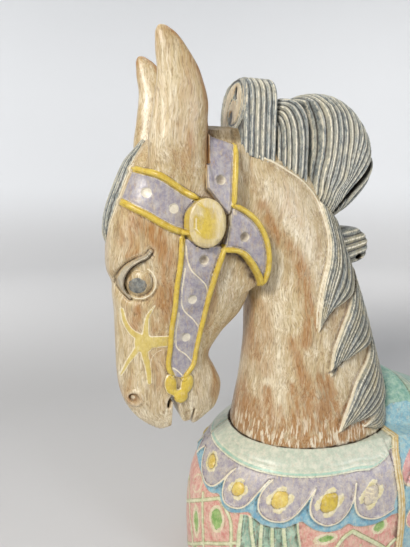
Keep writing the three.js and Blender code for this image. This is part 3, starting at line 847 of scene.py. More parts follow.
@dataclass
class Head:
    """Head, ears, forelock and bridle, carved in one with the face's relief."""

    node: str = "head_and_neck"
    step: float = 1.25
    strap_rise: float = 1.5         # how far a strap stands out of the wood
    piping_rise: float = 3.0        # how far its rounded edges stand out
    piping_half: float = 2.9        # half the width of those edges
    cream_half: float = 0.75        # half the width of a cream line
    incised: float = 0.3            # how deep a cream line is cut
    relief_top: float = 503         # above this the ears are left smooth
    ear_span: tuple[float, float] = (-205, -125.5)
    ear_foot: float = 505           # above this the ears carry no paint
    ear_back: float = -124.5
    ear_inside: float = 22          # how far from the middle plane an ear begins
    forelock_edge: float = 0.7      # how far the forelock's paint runs onto the wood
    pipings: list[np.ndarray] = field(default_factory=list)
    stud_radius: float = 5.2
    skull: Points = (
        (193.5, -173, -128, 20, 2.2), (201, -189, -120, 26, 2.2), (219, -207, -97, 32, 2.3),
        (242, -217, -94, 36, 2.3), (264, -220.5, -102, 35.5, 2.3), (282, -221.5, -110, 34.5, 2.3),
        (308, -221.5, -96, 36, 2.4), (338, -221.5, -68, 40, 2.5), (366, -223.5, -57, 45, 2.6),
        (400, -229, -52, 49, 2.7), (435, -226.5, -52, 50, 2.7), (462, -219, -52, 49, 2.7),
        (500, -204, -50, 45, 2.6), (530, -182, -48, 38, 2.4), (547, -152, -60, 24, 2.2))
    ear: Points = (
        (470, -180, -122, 34, 11), (500, -186, -126, 39, 15), (526, -187, -127, 42, 16),
        (560, -182, -125, 45, 15), (592, -178, -134, 48, 12.5), (613, -180, -148, 50, 9.5),
        (626, -180, -160, 51, 6.5), (631.5, -177, -170, 51.5, 3))
    ear_hollow: tuple[float, ...] = (-180, 60, 566, 12, 9, 50)
    forelock_front: Points = (
        (418, -226, 1.5), (424, -229, 4), (433, -231, 7.5), (448, -229.5, 11), (463, -225.5, 13),
        (481, -218.5, 14.5), (497, -211.5, 14), (510, -204.5, 12), (521, -195, 8), (530, -187, 3))
    forelock_depth: float = 6.5
    forelock_ribs: int = 6
    muzzle_base: Points = (
        (-236, 262), (-223, 250), (-216, 235), (-205, 219), (-192, 207.5), (-181, 200.5), (-174, 199),
        (-166, 203), (-160, 206), (-150, 207), (-141, 207), (-137, 202), (-131, 199.5), (-124, 203),
        (-117, 210), (-106, 217), (-98, 228), (-92, 244), (-86, 262))
    gap: Points = ((-163, 190), (-163, 243), (-159.5, 246), (-157, 238), (-155, 224), (-151, 212),
                   (-148, 209), (-141, 209), (-137.5, 226), (-135.5, 226), (-137.5, 208), (-135, 190))
    brow_upper: Points = ((-187.5, 415), (-192, 409.5), (-200, 405.5), (-208, 400), (-213.5, 393),
                          (-216.5, 385))
    brow_lower: Points = ((-216.5, 385), (-216, 377), (-212.5, 369.5), (-207.5, 363))
    rosette: tuple[float, ...] = (-132.5, 444, 21.5, 26)
    eye: tuple[float, ...] = (-199, 381, 13.5, 14.5)
    studs: Points = ((-190, 475), (-163.5, 459), (-113.5, 488), (-87, 428), (-133, 405), (-143, 361),
                     (-148, 316))

    def volume(self, block: Block) -> np.ndarray:
        """The head without its relief."""
        levels = np.arange(self.skull[0][0], self.skull[-1][0] + 0.1, 2.5)
        form = block.field(upright_loft(self.skull, levels))
        x, y, z = block.axes()
        sheet = Drawing((-245, 180), (-25, 640))
        grid = np.broadcast_arrays(x[:, 0], z[0])
        plate = sheet.at(self.jowl_outline(sheet), *grid)
        half = Profile(((340, 30), (358, 36), (380, 44), (408, 48), (440, 48.5), (470, 47), (500, 43.5),
                        (532, 37)))
        thick = half(z.ravel())[:, 0][None, None, :]
        form = joined(form, pillow(plate, thick, 7.0, y, 3.0).astype(np.float32), 4.0)
        base = curve(self.muzzle_base)
        below = sheet.outline(np.vstack([base, [[-86, 150], [-236, 150]]]))
        form = carved(form, (sheet.at(below, *grid)[:, None, :] + 0 * y).astype(np.float32), 5.0)
        form = carved(form, block.field(self.mouth_gap()), 1.0)
        form = joined(form, self.forelock(x, y, z).astype(np.float32), 1.5)
        ears = self.ears()
        form = joined(form, block.field(ears), 7.0)
        x, y, z, rx, ry, rz = self.ear_hollow
        scoops = ball((x, -y, z), (rx, ry, rz)).on_both_flanks()
        return carved(form, block.field(scoops), 2.5)

    def ears(self) -> Shell:
        """Both ears, as lofts that lean apart."""
        form = Profile(self.ear)
        levels = np.concatenate([np.arange(self.ear[0][0], 628, 3.0), [629.5, 631.0, 631.5]])
        rings = []
        for z, (front, back, middle, half) in zip(levels, form(levels)):
            outline = round_section((back - front) / 2, half, 2.2, 48)
            rings.append(np.column_stack([outline[:, 0] + (front + back) / 2, outline[:, 1] - middle,
                                          np.full(48, z)]))
        return loft(np.array(rings)).on_both_flanks()

    def jowl_outline(self, sheet: Drawing) -> np.ndarray:
        """The flat cheek that stands a little proud of the neck, edged by the jowl piping."""
        edge = curve(((-92, 545), (-92, 498), (-95, 468), (-84, 459), (-72, 449), (-62, 435),
                      (-55.5, 418), (-53, 400), (-53.5, 386), (-58, 371), (-70, 360), (-90, 350)), 5)
        return sheet.outline(np.vstack([edge, [[-150, 350], [-150, 545]]]))

    def mouth_gap(self) -> Shell:
        """The open mouth, cut right across, and the slot behind the lower lip's block."""
        return prism(np.array(self.gap, float), -70, 70)

    def drawing(self) -> tuple[Drawing, np.ndarray]:
        """Draws the bridle and the face.

        Returns:
            The sheet with its paint layers, and the height of the relief on it.
        """
        sheet = Drawing((-245, 180), (-35, 640))
        brow_top = curve(((-201, 500), (-189, 496), (-178, 492), (-166, 485), (-154, 477), (-140, 469)))
        brow_low = curve(((-214, 466), (-202, 459), (-191, 453), (-178, 445), (-165, 438), (-150, 433)))
        crown = curve(((-93.5, 525), (-96, 505), (-98, 485), (-99.5, 462)))
        jowl = curve(((-100, 462), (-88, 456), (-76, 447), (-66, 434), (-59.5, 418), (-57, 401), (-57.5, 387),
                      (-60, 377), (-62, 372)))
        cheek = curve(((-112, 415), (-98, 414), (-88, 410), (-79, 401), (-71, 390), (-65, 380), (-62, 372)))
        strap_front = curve(((-155, 428), (-157, 400), (-160, 378), (-162, 349), (-165, 326), (-166, 305),
                             (-168, 283), (-164, 272)))
        strap_back = curve(((-110, 418), (-118, 395), (-124, 365), (-127, 343), (-131, 322), (-135, 298),
                            (-138, 281), (-151, 267)))
        pipings = [brow_top, brow_low, crown, jowl, cheek, strap_front, strap_back]
        self.pipings = pipings
        piping = sheet.blank()
        for line in pipings:
            wider = 0.6 if line is brow_top or line is brow_low else 0.0
            piping = np.minimum(piping, sheet.line(line) - wider)
        brow_band = sheet.outline(np.vstack([brow_top, [[-132, 450]], brow_low[::-1]]))
        crown_band = sheet.outline(np.vstack([[[-128, 535]], crown, [[-105, 452], [-114, 462], [-128, 480]]]))
        jowl_band = sheet.outline(np.vstack([jowl, cheek[::-1], [[-107, 430], [-103, 452]]]))
        long_strap = sheet.outline(np.vstack([strap_front, strap_back[::-1]]))
        band = np.minimum.reduce([brow_band, crown_band, jowl_band, long_strap])
        rosette = sheet.oval(self.rosette[:2], *self.rosette[2:])
        lobes = joined(sheet.oval((-166, 262), 7.4, 12.5, turn=6),
                       sheet.oval((-146.5, 260), 8.2, 12, turn=-14), 1.0)
        ring_ball = sheet.oval((-154.5, 246), 9, 8.5)
        bow = sheet.line(curve(((-166, 255), (-158, 250.5), (-149, 253))), 4.5, 4.5)
        bit = joined(joined(lobes, ring_ball, 2.0), bow, 2.0)
        block_edges = [curve(w) for w in (
            ((-158, 240), (-156, 226), (-152, 213)), ((-143, 236), (-140.5, 222), (-138, 210)),
            ((-165, 243), (-170, 232), (-172, 220)))]
        waves = [curve(w) for w in (
            ((-151, 420), (-150, 406), (-146, 394), (-137, 385), (-129, 376), (-126, 364)),
            ((-152, 396), (-155, 361), (-152, 349), (-140, 336), (-134, 327), (-131, 318)),
            ((-157, 346), (-160, 315), (-158, 304), (-148, 295), (-141, 286), (-139, 282)))]
        cream = sheet.blank()
        for line in (*waves, *block_edges, curve(((-163, 281), (-157, 276), (-151, 269))),
                     curve(((-102, 459), (-104, 440), (-108, 418)))):
            cream = np.minimum(cream, sheet.line(line) - self.cream_half)
        ring = np.abs(sheet.oval(self.rosette[:2], 13, 14, 2.8)) - 0.55
        tick = sheet.line(np.array([(-132, 452), (-132, 442)])) - 0.3
        studs = sheet.blank()
        for centre in self.studs:
            studs = np.minimum(studs, sheet.oval(centre, self.stud_radius))
        star = self.star(sheet)

        rise = self.strap_rise * ramp(band, 0.5, -0.5)
        rise = np.maximum(rise, 0.6 * self.piping_rise * dome(piping, self.piping_half))
        dish = 1 - np.clip(studs / self.stud_radius + 1, 0, 1) ** 2
        rise = np.where(studs < 0, self.strap_rise - 0.2 - 0.7 * dish, rise)
        # a crescent in the upper front of each stud's cup, where the finish gets a painted shadow
        crescent = sheet.blank()
        for centre in self.studs:
            off = (centre[0] + 1.3, centre[1] - 1.3)
            crescent = np.minimum(crescent, np.maximum(sheet.oval(centre, self.stud_radius),
                                                       -sheet.oval(off, self.stud_radius)))
        button = np.clip(rosette / min(self.rosette[2:]) + 1, 0, 1)
        rise = np.where(rosette < 0.4, 3.2 * ramp(rosette, 0.4, -1.2) + 2.8 * np.sqrt(1 - button ** 2), rise)
        rise = rise - 1.0 * dome(ring + 0.9, 1.4) - 0.6 * dome(tick + 0.4, 1.0)
        for part, height in ((bit, 4.0), (ring_ball, 5.5)):
            inward = np.clip(-part / 7.0, 0, 1)
            rise = np.maximum(rise, height * np.sqrt(inward * (2 - inward)))
        rise = np.maximum(rise, 0.9 * ramp(star, 0.6, -0.6))
        rise = rise + self.face(sheet)
        yellow = np.minimum.reduce([
            np.maximum(piping - self.piping_half, -(cream + 0.2)), rosette + 0.3, bit])
        x, z, half_x, half_z = self.eye
        lid = np.maximum(np.abs(sheet.oval((x, z), half_x + 3.2, half_z + 3.2)) - 0.7,
                         -self.behind_eye(sheet))
        nose_line = np.minimum(np.abs(star) - 0.5, sheet.line(curve(
            ((-168, 304), (-179, 302), (-186, 295), (-188, 284)))) - 0.5)
        # lines along carved edges, round the inside of the eye's lid and the brow's wrinkles, that the finish
        # darkens as painted shade
        outline = np.minimum.reduce([
            np.abs(piping - self.piping_half - 0.3), np.abs(rosette), np.abs(bit), np.abs(ring + 1.2),
            np.maximum(np.abs(sheet.oval((x, z), half_x + 0.6, half_z + 0.6)), 4 - self.behind_eye(sheet)),
            np.abs(self.brow(sheet) - 0.9) - 0.3, np.abs(star - 1.3) + 0.25,
            sheet.line(np.array([(-192, 413), (-186.5, 407)], float)) - 0.2,
            sheet.line(np.array([(-190, 416), (-184, 409.5)], float)) - 0.2])
        sheet.layers.update(
            yellow=yellow, star=star, blush=self.blush(sheet), outline=outline, crescent=crescent,
            brow=self.brow(sheet) + 0.4, lavender=np.maximum(band, -(piping - self.piping_half)),
            cream=np.minimum.reduce([cream, ring, tick,
                                     np.maximum(np.abs(piping - self.piping_half - 0.7) - 0.4, band),
                                     np.abs(bit + 0.6) - 0.4, lid, nose_line,
                                     sheet.oval((-206.5, 245.5), 2.3)]),
            stud=studs, rise=rise)
        return sheet, rise

    def blush(self, sheet: Drawing) -> np.ndarray:
        """Where the lime is rubbed off and the warm wood shows, from 0 to 1."""
        return sheet.strokes((
            (((-176, 634), (-162, 626), (-146, 610), (-135, 588), (-127, 560), (-125, 530), (-126, 506)), 3,
             4, 0.9),
            (((-181, 630), (-183, 606), (-184, 590)), 2, 1, 0.8),
            (((-160, 540), (-150, 520), (-150, 500)), 6, 9, 0.4),
            (((-196, 440), (-180, 430), (-172, 408), (-172, 385), (-176, 355)), 8, 7, 0.75),
            (((-212, 425), (-206, 440), (-196, 448)), 6, 6, 0.6),
            (((-112, 290), (-104, 268), (-108, 240)), 6, 7, 0.7),
            (((-200, 350), (-204, 330)), 4, 4, 0.75), (((-172, 350), (-178, 328)), 5, 4, 0.6),
            (((-178, 300), (-184, 280), (-180, 262)), 5, 7, 0.5), (((-210, 410), (-200, 415)), 3, 3, 0.7),
            (((-122, 404), (-116, 380), (-119, 350), (-124, 322)), 4, 3, 0.45),
            (((-205, 420), (-190, 424)), 5, 3, 0.3), (((-108, 285), (-102, 262), (-104, 235)), 4, 5, 0.4),
            (((-209, 268), (-214, 250)), 4, 5, 0.35), (((-206, 246), (-206, 245)), 6, 6, 0.6)))

    def limed(self, sheet: Drawing) -> np.ndarray:
        """Where the lime lies thick, from 0 to 1, with a painted highlight down the middle of the ear."""
        return sheet.strokes((
            # the first stroke, down the middle of the ear, is a painted highlight
            (((-172, 612), (-170, 580), (-172, 545), (-175, 515)), 5, 7, 0.9),
            (((-206, 440), (-216, 425), (-222, 400)), 6, 5, 0.7), (((-186, 405), (-176, 385)), 4, 6, 0.5),
            (((-212, 345), (-200, 330)), 6, 6, 0.4), (((-200, 225), (-185, 215), (-176, 208)), 7, 5, 0.7),
            (((-112, 395), (-100, 380), (-96, 350)), 8, 9, 0.6), (((-125, 270), (-118, 240)), 8, 8, 0.5)))

    def star(self, sheet: Drawing) -> np.ndarray:
        """The painted splash down the nose, with arms that taper outwards."""
        arms = (
            (((-216, 350), (-212.5, 334), (-206, 324), (-197, 318)), 1.6, 4.0),
            (((-183, 356), (-190.5, 343), (-192.5, 325), (-193, 318)), 0.5, 4.4),
            (((-168, 313.5), (-186, 313), (-192, 313)), 6.0, 7.0),
            (((-219, 271), (-211, 290), (-203, 303), (-198, 311)), 0.9, 4.0),
            (((-189.5, 266), (-190.5, 282), (-193.5, 298), (-195, 310)), 2.4, 4.4))
        made = sheet.oval((-195, 312), 9.5, 10.5, 2.6)
        for points, start, end in arms:
            made = np.minimum(made, sheet.line(curve(points), start, end))
        return made

    def face(self, sheet: Drawing) -> np.ndarray:
        """Height of the eye, the roll of the brow, the nostril and the lips."""
        x, z, half_x, half_z = self.eye
        socket = sheet.oval((x - 2, z + 1), 25, 26)
        eyeball = sheet.oval((x, z), half_x, half_z)
        inward = np.clip(-eyeball / half_x, 0, 1)
        lid = sheet.oval((x, z), half_x + 3.0, half_z + 3.0)
        roll = self.brow(sheet)
        rise = -4.4 * ramp(socket, 4.0, -9.0)
        rise = rise + 2.6 * dome(np.abs(lid), 2.2) * ramp(self.behind_eye(sheet), -3, 5)
        rise = np.where(eyeball < 0, -5.0 + 7.6 * np.sqrt(inward * (2 - inward)), rise)
        rise = np.maximum(rise, -3.0 + 7.6 * np.sqrt(np.clip(-roll / 3.4, 0, 1)))
        rise = rise - 1.3 * dome(np.abs(roll - 1.2), 1.6)
        nostril = sheet.oval((-206, 246), 5.6, 6.0)
        rise = rise - 2.6 * ramp(nostril, 1.0, -2.4) + 2.0 * dome(np.abs(nostril - 2.0), 2.8)
        flare = sheet.line(curve(((-198, 252), (-194, 243), (-197, 234))))
        rise = rise + 0.9 * dome(flare, 3.4)
        corner = sheet.line(curve(((-164, 244), (-167, 239), (-168, 233))), 2.8, 1.8)
        rise = rise - 8.0 * ramp(corner, 0.8, -2.2)
        teeth = np.abs(np.sin((self.sheet_u(sheet) + 174) * math.pi / 4.2))
        zone = ramp(sheet.oval((-176, 206), 14, 12), 3, -5)
        rise = rise - 1.0 * zone * (1 - teeth) ** 2
        cheekbone = sheet.line(curve(((-176, 400), (-172, 372), (-170, 345), (-170, 322))), 5, 3)
        return rise + 1.4 * ramp(cheekbone, 9, -3)

    def brow(self, sheet: Drawing) -> np.ndarray:
        """Distance to the brow's roll, a crescent round the front of the eye."""
        return np.minimum(sheet.line(curve(self.brow_upper), 1.9, 3.4),
                          sheet.line(curve(self.brow_lower), 3.4, 0.8))

    def sheet_u(self, sheet: Drawing) -> np.ndarray:
        """How far back each place on a sheet is."""
        return np.broadcast_to(sheet.u[:, None], (len(sheet.u), len(sheet.v)))

    def behind_eye(self, sheet: Drawing, shift: float = 2.0) -> np.ndarray:
        """Distance behind and below the slant on which the eye's lid begins."""
        x, z = self.eye[:2]
        return (sheet.u[:, None] - x) * 0.8 - (sheet.v[None, :] - z) * 0.55 + shift

    def forelock(self, x: np.ndarray, y: np.ndarray, z: np.ndarray) -> np.ndarray:
        """Distance to the short forelock that lies down the forehead to the brow."""
        level = np.clip(z, self.forelock_front[0][0], self.forelock_front[-1][0])
        front, half = np.moveaxis(Profile(self.forelock_front)(level.ravel()).reshape(*level.shape, 2), -1, 0)
        depth = np.minimum(self.forelock_depth, half)
        size = np.hypot((x - front - depth) / depth, y / half)
        ribs = 0.9 * np.abs(np.sin(math.pi * self.forelock_ribs * (y / half + 1) / 2))
        return (size - 1) * np.minimum(depth, half) - ribs + np.abs(z - level)

    def near_skin(self, block: Block, form: np.ndarray, line: np.ndarray) -> np.ndarray:
        """A line on the side drawing, laid on the near flank as far as the form reaches there."""
        i, k = (np.rint((line[:, c] - block.low[a]) / block.step).astype(int) for c, a in ((0, 0), (1, 2)))
        column = form[np.clip(i, 0, form.shape[0] - 1), :, np.clip(k, 0, form.shape[2] - 1)]
        first = np.maximum(np.argmax(column < 0, axis=1), 1)
        row = np.arange(len(line))
        outer, inner = column[row, first - 1], column[row, first]
        depth = block.low[1] + (first - 1 + outer / np.maximum(outer - inner, 1e-6)) * block.step
        smooth = np.convolve(np.pad(depth, 2, mode="edge"), np.ones(5) / 5, mode="valid")
        return np.column_stack([line[:, 0], smooth, line[:, 1]])

    def piping(self, block: Block, form: np.ndarray, finish: bpy.types.Material) -> bpy.types.Object:
        """Makes the rounded yellow edges of the bridle's straps, on both flanks."""
        ridges = []
        for line in self.pipings:
            run = resampled(line, max(8, int(len(line) * 1.2)))
            laid = self.near_skin(block, form, run) + [0, 0.4, 0]
            order = np.arange(len(run))
            taper = np.sqrt(np.clip(np.minimum(order, order[::-1]) / 2.5, 0.15, 1))
            ridges.append(np.column_stack([laid, taper]))
            ridges.append(np.column_stack([laid * [1, -1, 1], taper]))
        shell = cords("bridle_piping", ridges, self.piping_half, finish)
        count = len(shell.points)
        paint = {each.edge: np.full(count, FAR / 3) for each in FACE_PAINTS}
        paint.update(yellow=np.full(count, -3.0), hair=np.full(count, FAR / 3), wash=np.full(count, 0.5),
                     hollow=np.full(count, -0.1))
        return piece_of("bridle_piping", shell, paint, finish, self.node)

    def build(self, finish: bpy.types.Material) -> bpy.types.Object:
        """Makes the head with its paint.

        Args:
            finish: the painted wood.
        """
        block = Block((-240, -66, 184), (-30, 66, 640), self.step, thrift=0.003)
        form = self.volume(block)
        sheet, rise = self.drawing()
        rise = rise - self.incised * ramp(sheet.layers["cream"], 0.6, -0.4)
        x, _, z = block.axes()
        height = sheet.at(rise, *np.broadcast_arrays(x[:, 0], z[0]))
        lift = np.repeat(height[:, None, :], block.shape[1], axis=1)
        on_ear = (z > self.relief_top) & (x > self.ear_span[0]) & (x < self.ear_span[1])
        form = form - np.where(on_ear, 0.0, lift).astype(np.float32)
        shell = block.skin(form)
        self.piping(block, form, finish)
        px, pz = shell.points[:, 0], shell.points[:, 2]
        ear = ((pz > self.ear_foot) & (px < self.ear_back)
               & (np.abs(shell.points[:, 1]) > self.ear_inside))
        hair = self.forelock(px, shell.points[:, 1], pz) - self.forelock_edge
        paint = {label: np.where(ear | (hair < 0), FAR / 3, sheet.at(sheet.layers[label], px, pz))
                 for label in ("yellow", "lavender", "cream", "stud", "star", "outline", "brow")}
        paint["calm"] = 0.8 * ramp(np.minimum(paint["stud"], paint["cream"]), 0.8, 0.0)
        for label in ("yellow", "lavender", "outline"):
            paint[label] = np.maximum(paint[label], 4.5 - hair)
        paint["outline"] = np.where(pz > 524, FAR / 3, paint["outline"])
        paint["hair"] = hair
        paint["cream"] = np.where(pz < 506, np.minimum(paint["cream"], np.abs(hair - 1.3) - 0.7),
                                  paint["cream"])
        half = Profile(self.forelock_front)(np.clip(pz, 418, 530))[:, 1]
        paint["rib"] = self.forelock_ribs * (shell.points[:, 1] / half + 1) / 2
        sheet.layers["pupil"] = sheet.oval((-201, 378.5), 8.8, 8.8)
        paint["pupil"] = sheet.at(sheet.layers["pupil"], px, pz)
        paint["warm"] = sheet.at(sheet.layers["blush"], px, pz)
        limed = sheet.at(self.limed(sheet), px, pz)
        paint["wash"] = np.clip(0.14 + 0.26 * ramp(pz, 330, 215) + 0.55 * limed, 0, 1)
        # painted shade on the block between the ear and the mane's roll
        crown = ramp(pz, 525, 533) * ramp(px, -128, -122) * ramp(px, -78, -84)
        paint["stain"] = np.maximum(self.stain(sheet, px, pz), 0.55 * crown)
        return piece_of("head", shell, paint, finish, self.node)

    def stain(self, sheet: Drawing, x: np.ndarray, z: np.ndarray) -> np.ndarray:
        """Darkening painted on the face: a shadow in the upper front of each stud's cup, the ear's shadow on
        the strap behind it, painted shade in the mouth's corner and under the nostril's flare, and dark lines
        over the nostril and down the lower lip's slot.
        """
        places = (
            (sheet.layers["crescent"], 0.5, 0.5, -0.7),
            (sheet.line(curve(((-125, 545), (-126, 520), (-125, 500), (-121, 480))), 1.5, 0.3), 0.5, 3.0,
             -1.0),
            (sheet.line(curve(((-164, 244), (-167, 239), (-168, 233))), 1.6, 1.4), 0.9, 0.8, -1.0),
            (sheet.line(curve(((-209, 249), (-203, 250), (-200, 245))), 0.3, 0.3), 0.6, 0.8, -0.4),
            (sheet.line(curve(((-199, 240), (-195, 234))), 1.0, 0.6), 0.3, 3.0, -1.0),
            (sheet.line(curve(((-153, 238), (-149, 226), (-146, 214))), 0.6, 1.6), 0.4, 2.5, -1.0))
        worn = [strength * ramp(sheet.at(layer, x, z), low, high) for layer, strength, low, high in places]
        return np.maximum.reduce(worn)

# ---- the neck and its locks ---------------------------------------------------------------------

@dataclass
class Lock:
    """One lock of the mane: ribs that run from its root together to its tip."""

    guides: tuple[Points, ...]
    ribs: int
    rise: float
    edge: float = 7.0
    crest: float = 1.7

    def draw(self, sheet: Drawing) -> dict[str, np.ndarray]:
        """Its outline, ribs and height on a sheet."""
        lines = [curve(g) + [2.5, 0] for g in self.guides]
        outline = sheet.outline(np.vstack([lines[0], lines[-1][::-1]]))
        across = sheet.fan(lines) * self.ribs
        inward = np.clip(-outline / self.edge, 0, 1)
        body = self.rise * np.sqrt(inward * (2 - inward))
        ridges = self.crest * (np.abs(np.sin(math.pi * across)) ** 0.8) * ramp(outline, 0.5, -2.0)
        return {"outline": outline, "rib": across, "rise": body + ridges, "left": sheet.line(lines[0])}


@dataclass
class Neck:
    """The arched neck down to the glue seam, with the lower mane lying on it."""

    node: str = "head_and_neck"
    step: float = 1.45
    column: Points = (
        (SEAM, -72.5, 143.5, 84, 2.15), (200, -68, 139, 79, 2.15), (232, -62, 130, 74, 2.15),
        (267, -58, 119, 68, 2.15), (296, -56, 109, 64, 2.15), (326, -56, 98, 60, 2.2),
        (353, -57, 88, 56, 2.2), (382, -60, 76, 52, 2.3), (410, -66, 63, 49, 2.4),
        (440, -88, 51, 46, 2.5), (470, -112, 38, 43, 2.5), (500, -122, 14, 38, 2.4),
        (520, -126, -14, 32, 2.3), (534, -124, -44, 22, 2.2))
    crest_line: Points = (
        (-88, 523), (-72, 519), (-55, 513.5), (-39, 507), (-28, 501), (-16, 495), (-6, 489), (3, 481),
        (10, 474), (17, 462), (23, 444), (27, 428), (27, 412), (24, 396), (19, 381), (13, 364),
        (10, 350), (7, 335), (6, 318))
    locks: tuple[Lock, ...] = (
        Lock((((140, 240), (128, 222), (108, 205), (88, 196), (66, 190)),
              ((152, 225), (142, 205), (122, 190), (96, 184), (66, 190)),
              ((158, 205), (152, 190), (130, 178), (100, 176), (66, 190))), 6, 2.5),
        Lock((((88, 330), (97, 300), (95, 281), (83, 269), (66, 256), (55, 244), (48, 231), (40, 217),
               (34, 205), (28, 191)),
              ((108, 310), (117, 280), (112, 258), (96, 238), (76, 224), (58, 212), (42, 202), (28, 191)),
              ((128, 300), (140, 268), (142, 240), (132, 218), (112, 206), (86, 200), (57, 199), (40, 197),
               (28, 191))), 8, 6.5),
        Lock((((58, 398), (63, 372), (59, 350), (50, 333), (41, 320), (33, 305), (26, 291), (22, 276),
               (20, 258)),
              ((78, 385), (84, 358), (78, 335), (64, 316), (50, 301), (38, 286), (28, 271), (20, 258)),
              ((94, 375), (112, 348), (120, 320), (112, 298), (90, 286), (64, 282), (46, 277), (31, 268),
               (20, 258))), 8, 7.0),
        Lock((((16, 466), (23, 443), (27, 425), (27, 410), (23, 393), (17, 376), (12, 358), (8, 338),
               (6, 313)),
              ((30, 458), (37, 430), (40, 408), (36, 386), (27, 368), (19, 350), (12, 332), (6, 313)),
              ((50, 445), (62, 420), (70, 398), (72, 376), (62, 354), (44, 345), (27, 338), (14, 326),
               (6, 313))),
             7, 6.5))
    back: tuple[Points, ...] = (
        ((40, 470), (56, 440), (72, 400), (88, 360), (100, 330), (112, 300), (124, 265), (134, 230)),
        ((60, 480), (90, 440), (112, 400), (126, 360), (140, 320), (150, 290), (158, 250), (165, 215)))
    knot: Points = ((44, 432), (60, 433), (74, 433), (88, 432), (99, 428), (107, 419), (109, 407),
                    (107, 396), (100, 387), (86, 383), (60, 384), (44, 398))

    def drawing(self) -> Drawing:
        """Draws the mane that lies on the neck."""
        sheet = Drawing((-135, 165), (170, 560))
        spine = [curve(g) for g in self.back]
        hair = sheet.outline(np.vstack([spine[0], spine[1][::-1]]))
        rib = sheet.fan(spine, 300, 200) * 8
        rise = (2.5 + 1.5 * np.abs(np.sin(math.pi * rib)) ** 0.8) * ramp(hair, 0.5, -2.0)
        cream = sheet.blank()
        hollow = sheet.blank(0.0)
        for lock in self.locks:
            made = lock.draw(sheet)
            inside = made["outline"] < 0
            # a painted shadow round each lock on the mane that it lies on
            shade = 0.9 * ramp(made["outline"], 3.2, 0.0) * (made["outline"] >= 0) * (hair < 0)
            hollow = np.where(inside, 0.0, np.maximum(hollow, shade))
            rise = np.where(inside, np.maximum(made["rise"], rise * 0.4), rise)
            rib = np.where(inside, made["rib"], rib)
            cream = np.where(inside, np.maximum(cream, -made["outline"] - 1.6), cream)
            cream = np.minimum(cream, made["left"] - 0.8)
            rise = rise + 1.2 * dome(np.clip(made["left"], 0, None), 2.0)
            hair = np.minimum(hair, made["outline"])
        crest = sheet.line(curve(self.crest_line), 1.2, 0.9)
        rise = rise + 1.6 * dome(np.clip(crest + 1.1, 0, None), 2.0)
        cream = np.minimum(cream, crest)
        tip = sheet.line(curve(((21, 262), (28, 268), (38, 274))), 1.0, 4.5)
        # painted shade in the cut under the last lock's tip
        hollow = np.maximum(hollow, ramp(tip, 1.0, -2.0))
        rise = rise - 5.0 * ramp(tip, 0.5, -3.0)
        sheet.layers.update(hair=hair, rib=rib, rise=rise, cream=cream, stain=hollow)
        return sheet

    def build(self, finish: bpy.types.Material) -> bpy.types.Object:
        """Makes the neck.

        Args:
            finish: the bare limed wood.
        """
        block = Block((-130, -94, 164), (160, 94, 540), self.step)
        levels = np.concatenate([[self.column[0][0]], np.arange(176, 534, 4.0), [534.0]])
        form = block.field(upright_loft(self.column, levels, 120))
        sheet = self.drawing()
        x, y, z = block.axes()
        lift = sheet.at(sheet.layers["rise"], *np.broadcast_arrays(x[:, 0], z[0]))
        sheet_knot = sheet.outline(curve((*self.knot, self.knot[0])))
        knot = pillow(sheet.at(sheet_knot, *np.broadcast_arrays(x[:, 0], z[0])), 22.0, 13.0, y)
        turns = sheet.fan([curve(((50, 374), (80, 382), (118, 398))),
                           curve(((44, 438), (78, 442), (116, 446)))]) * 6
        ridges = 1.4 * np.abs(np.sin(math.pi * turns)) ** 0.8
        eye = sheet.oval((91, 394), 4.5, 3.5)
        carving = sheet.at(ridges - 9 * ramp(eye, 0.8, -2.2), *np.broadcast_arrays(x[:, 0], z[0]))
        knot = knot - carving[:, None, :]
        form = form - lift[:, None, :].astype(np.float32)
        form = joined(form, knot.astype(np.float32), 2.0)
        seam = carved(form, (z - self.column[0][0]).astype(np.float32), 3.0)
        shell = block.skin(seam)
        px, py, pz = shell.points.T
        on_knot = (sheet.at(sheet_knot, px, pz) < 1.5) & (px > 60) & (np.abs(py) < 26)
        paint = {label: sheet.at(sheet.layers[label], px, pz) for label in ("hair", "rib", "cream", "stain")}
        paint["hair"] = np.where(on_knot, -3.0, paint["hair"])
        paint["rib"] = np.where(on_knot, sheet.at(turns, px, pz), paint["rib"])
        paint["cream"] = np.where(on_knot, FAR / 3, paint["cream"])
        # painted shade in the curl's deep eye; elsewhere the drawn shade is softened
        paint["stain"] = np.where(on_knot, ramp(sheet.at(eye, px, pz), 1.5, -1.0), 0.8 * paint["stain"])
        blush = sheet.strokes((
            (((-59, 461), (-44, 433), (-24, 411), (-10, 388), (-7, 359), (-1, 325), (-8, 300)), 5, 7, 0.75),
            (((-14, 400), (-6, 370)), 6, 7, 0.8), (((-58, 346), (-54, 309), (-53, 274)), 3, 4, 0.75),
            (((-23, 303), (-13, 269), (-6, 246), (-2, 223)), 4, 8, 0.8),
            (((13, 250), (16, 228), (13, 205)), 11, 11, 1.0), (((-67, 228), (-70, 197)), 3, 5, 0.8),
            (((-74, 184), (-52, 182), (-13, 181), (36, 182), (70, 188)), 10, 10, 1.0),
            *((((x, top), (x + 2, 180)), 3.5, 7, 1.0) for x, top in (
                (-67, 250), (-56, 222), (-47, 240), (-34, 220), (-22, 248), (-9, 262), (3, 232), (28, 238),
                (42, 220))), (((-50, 345), (-46, 300), (-48, 262)), 4, 6, 0.6)))
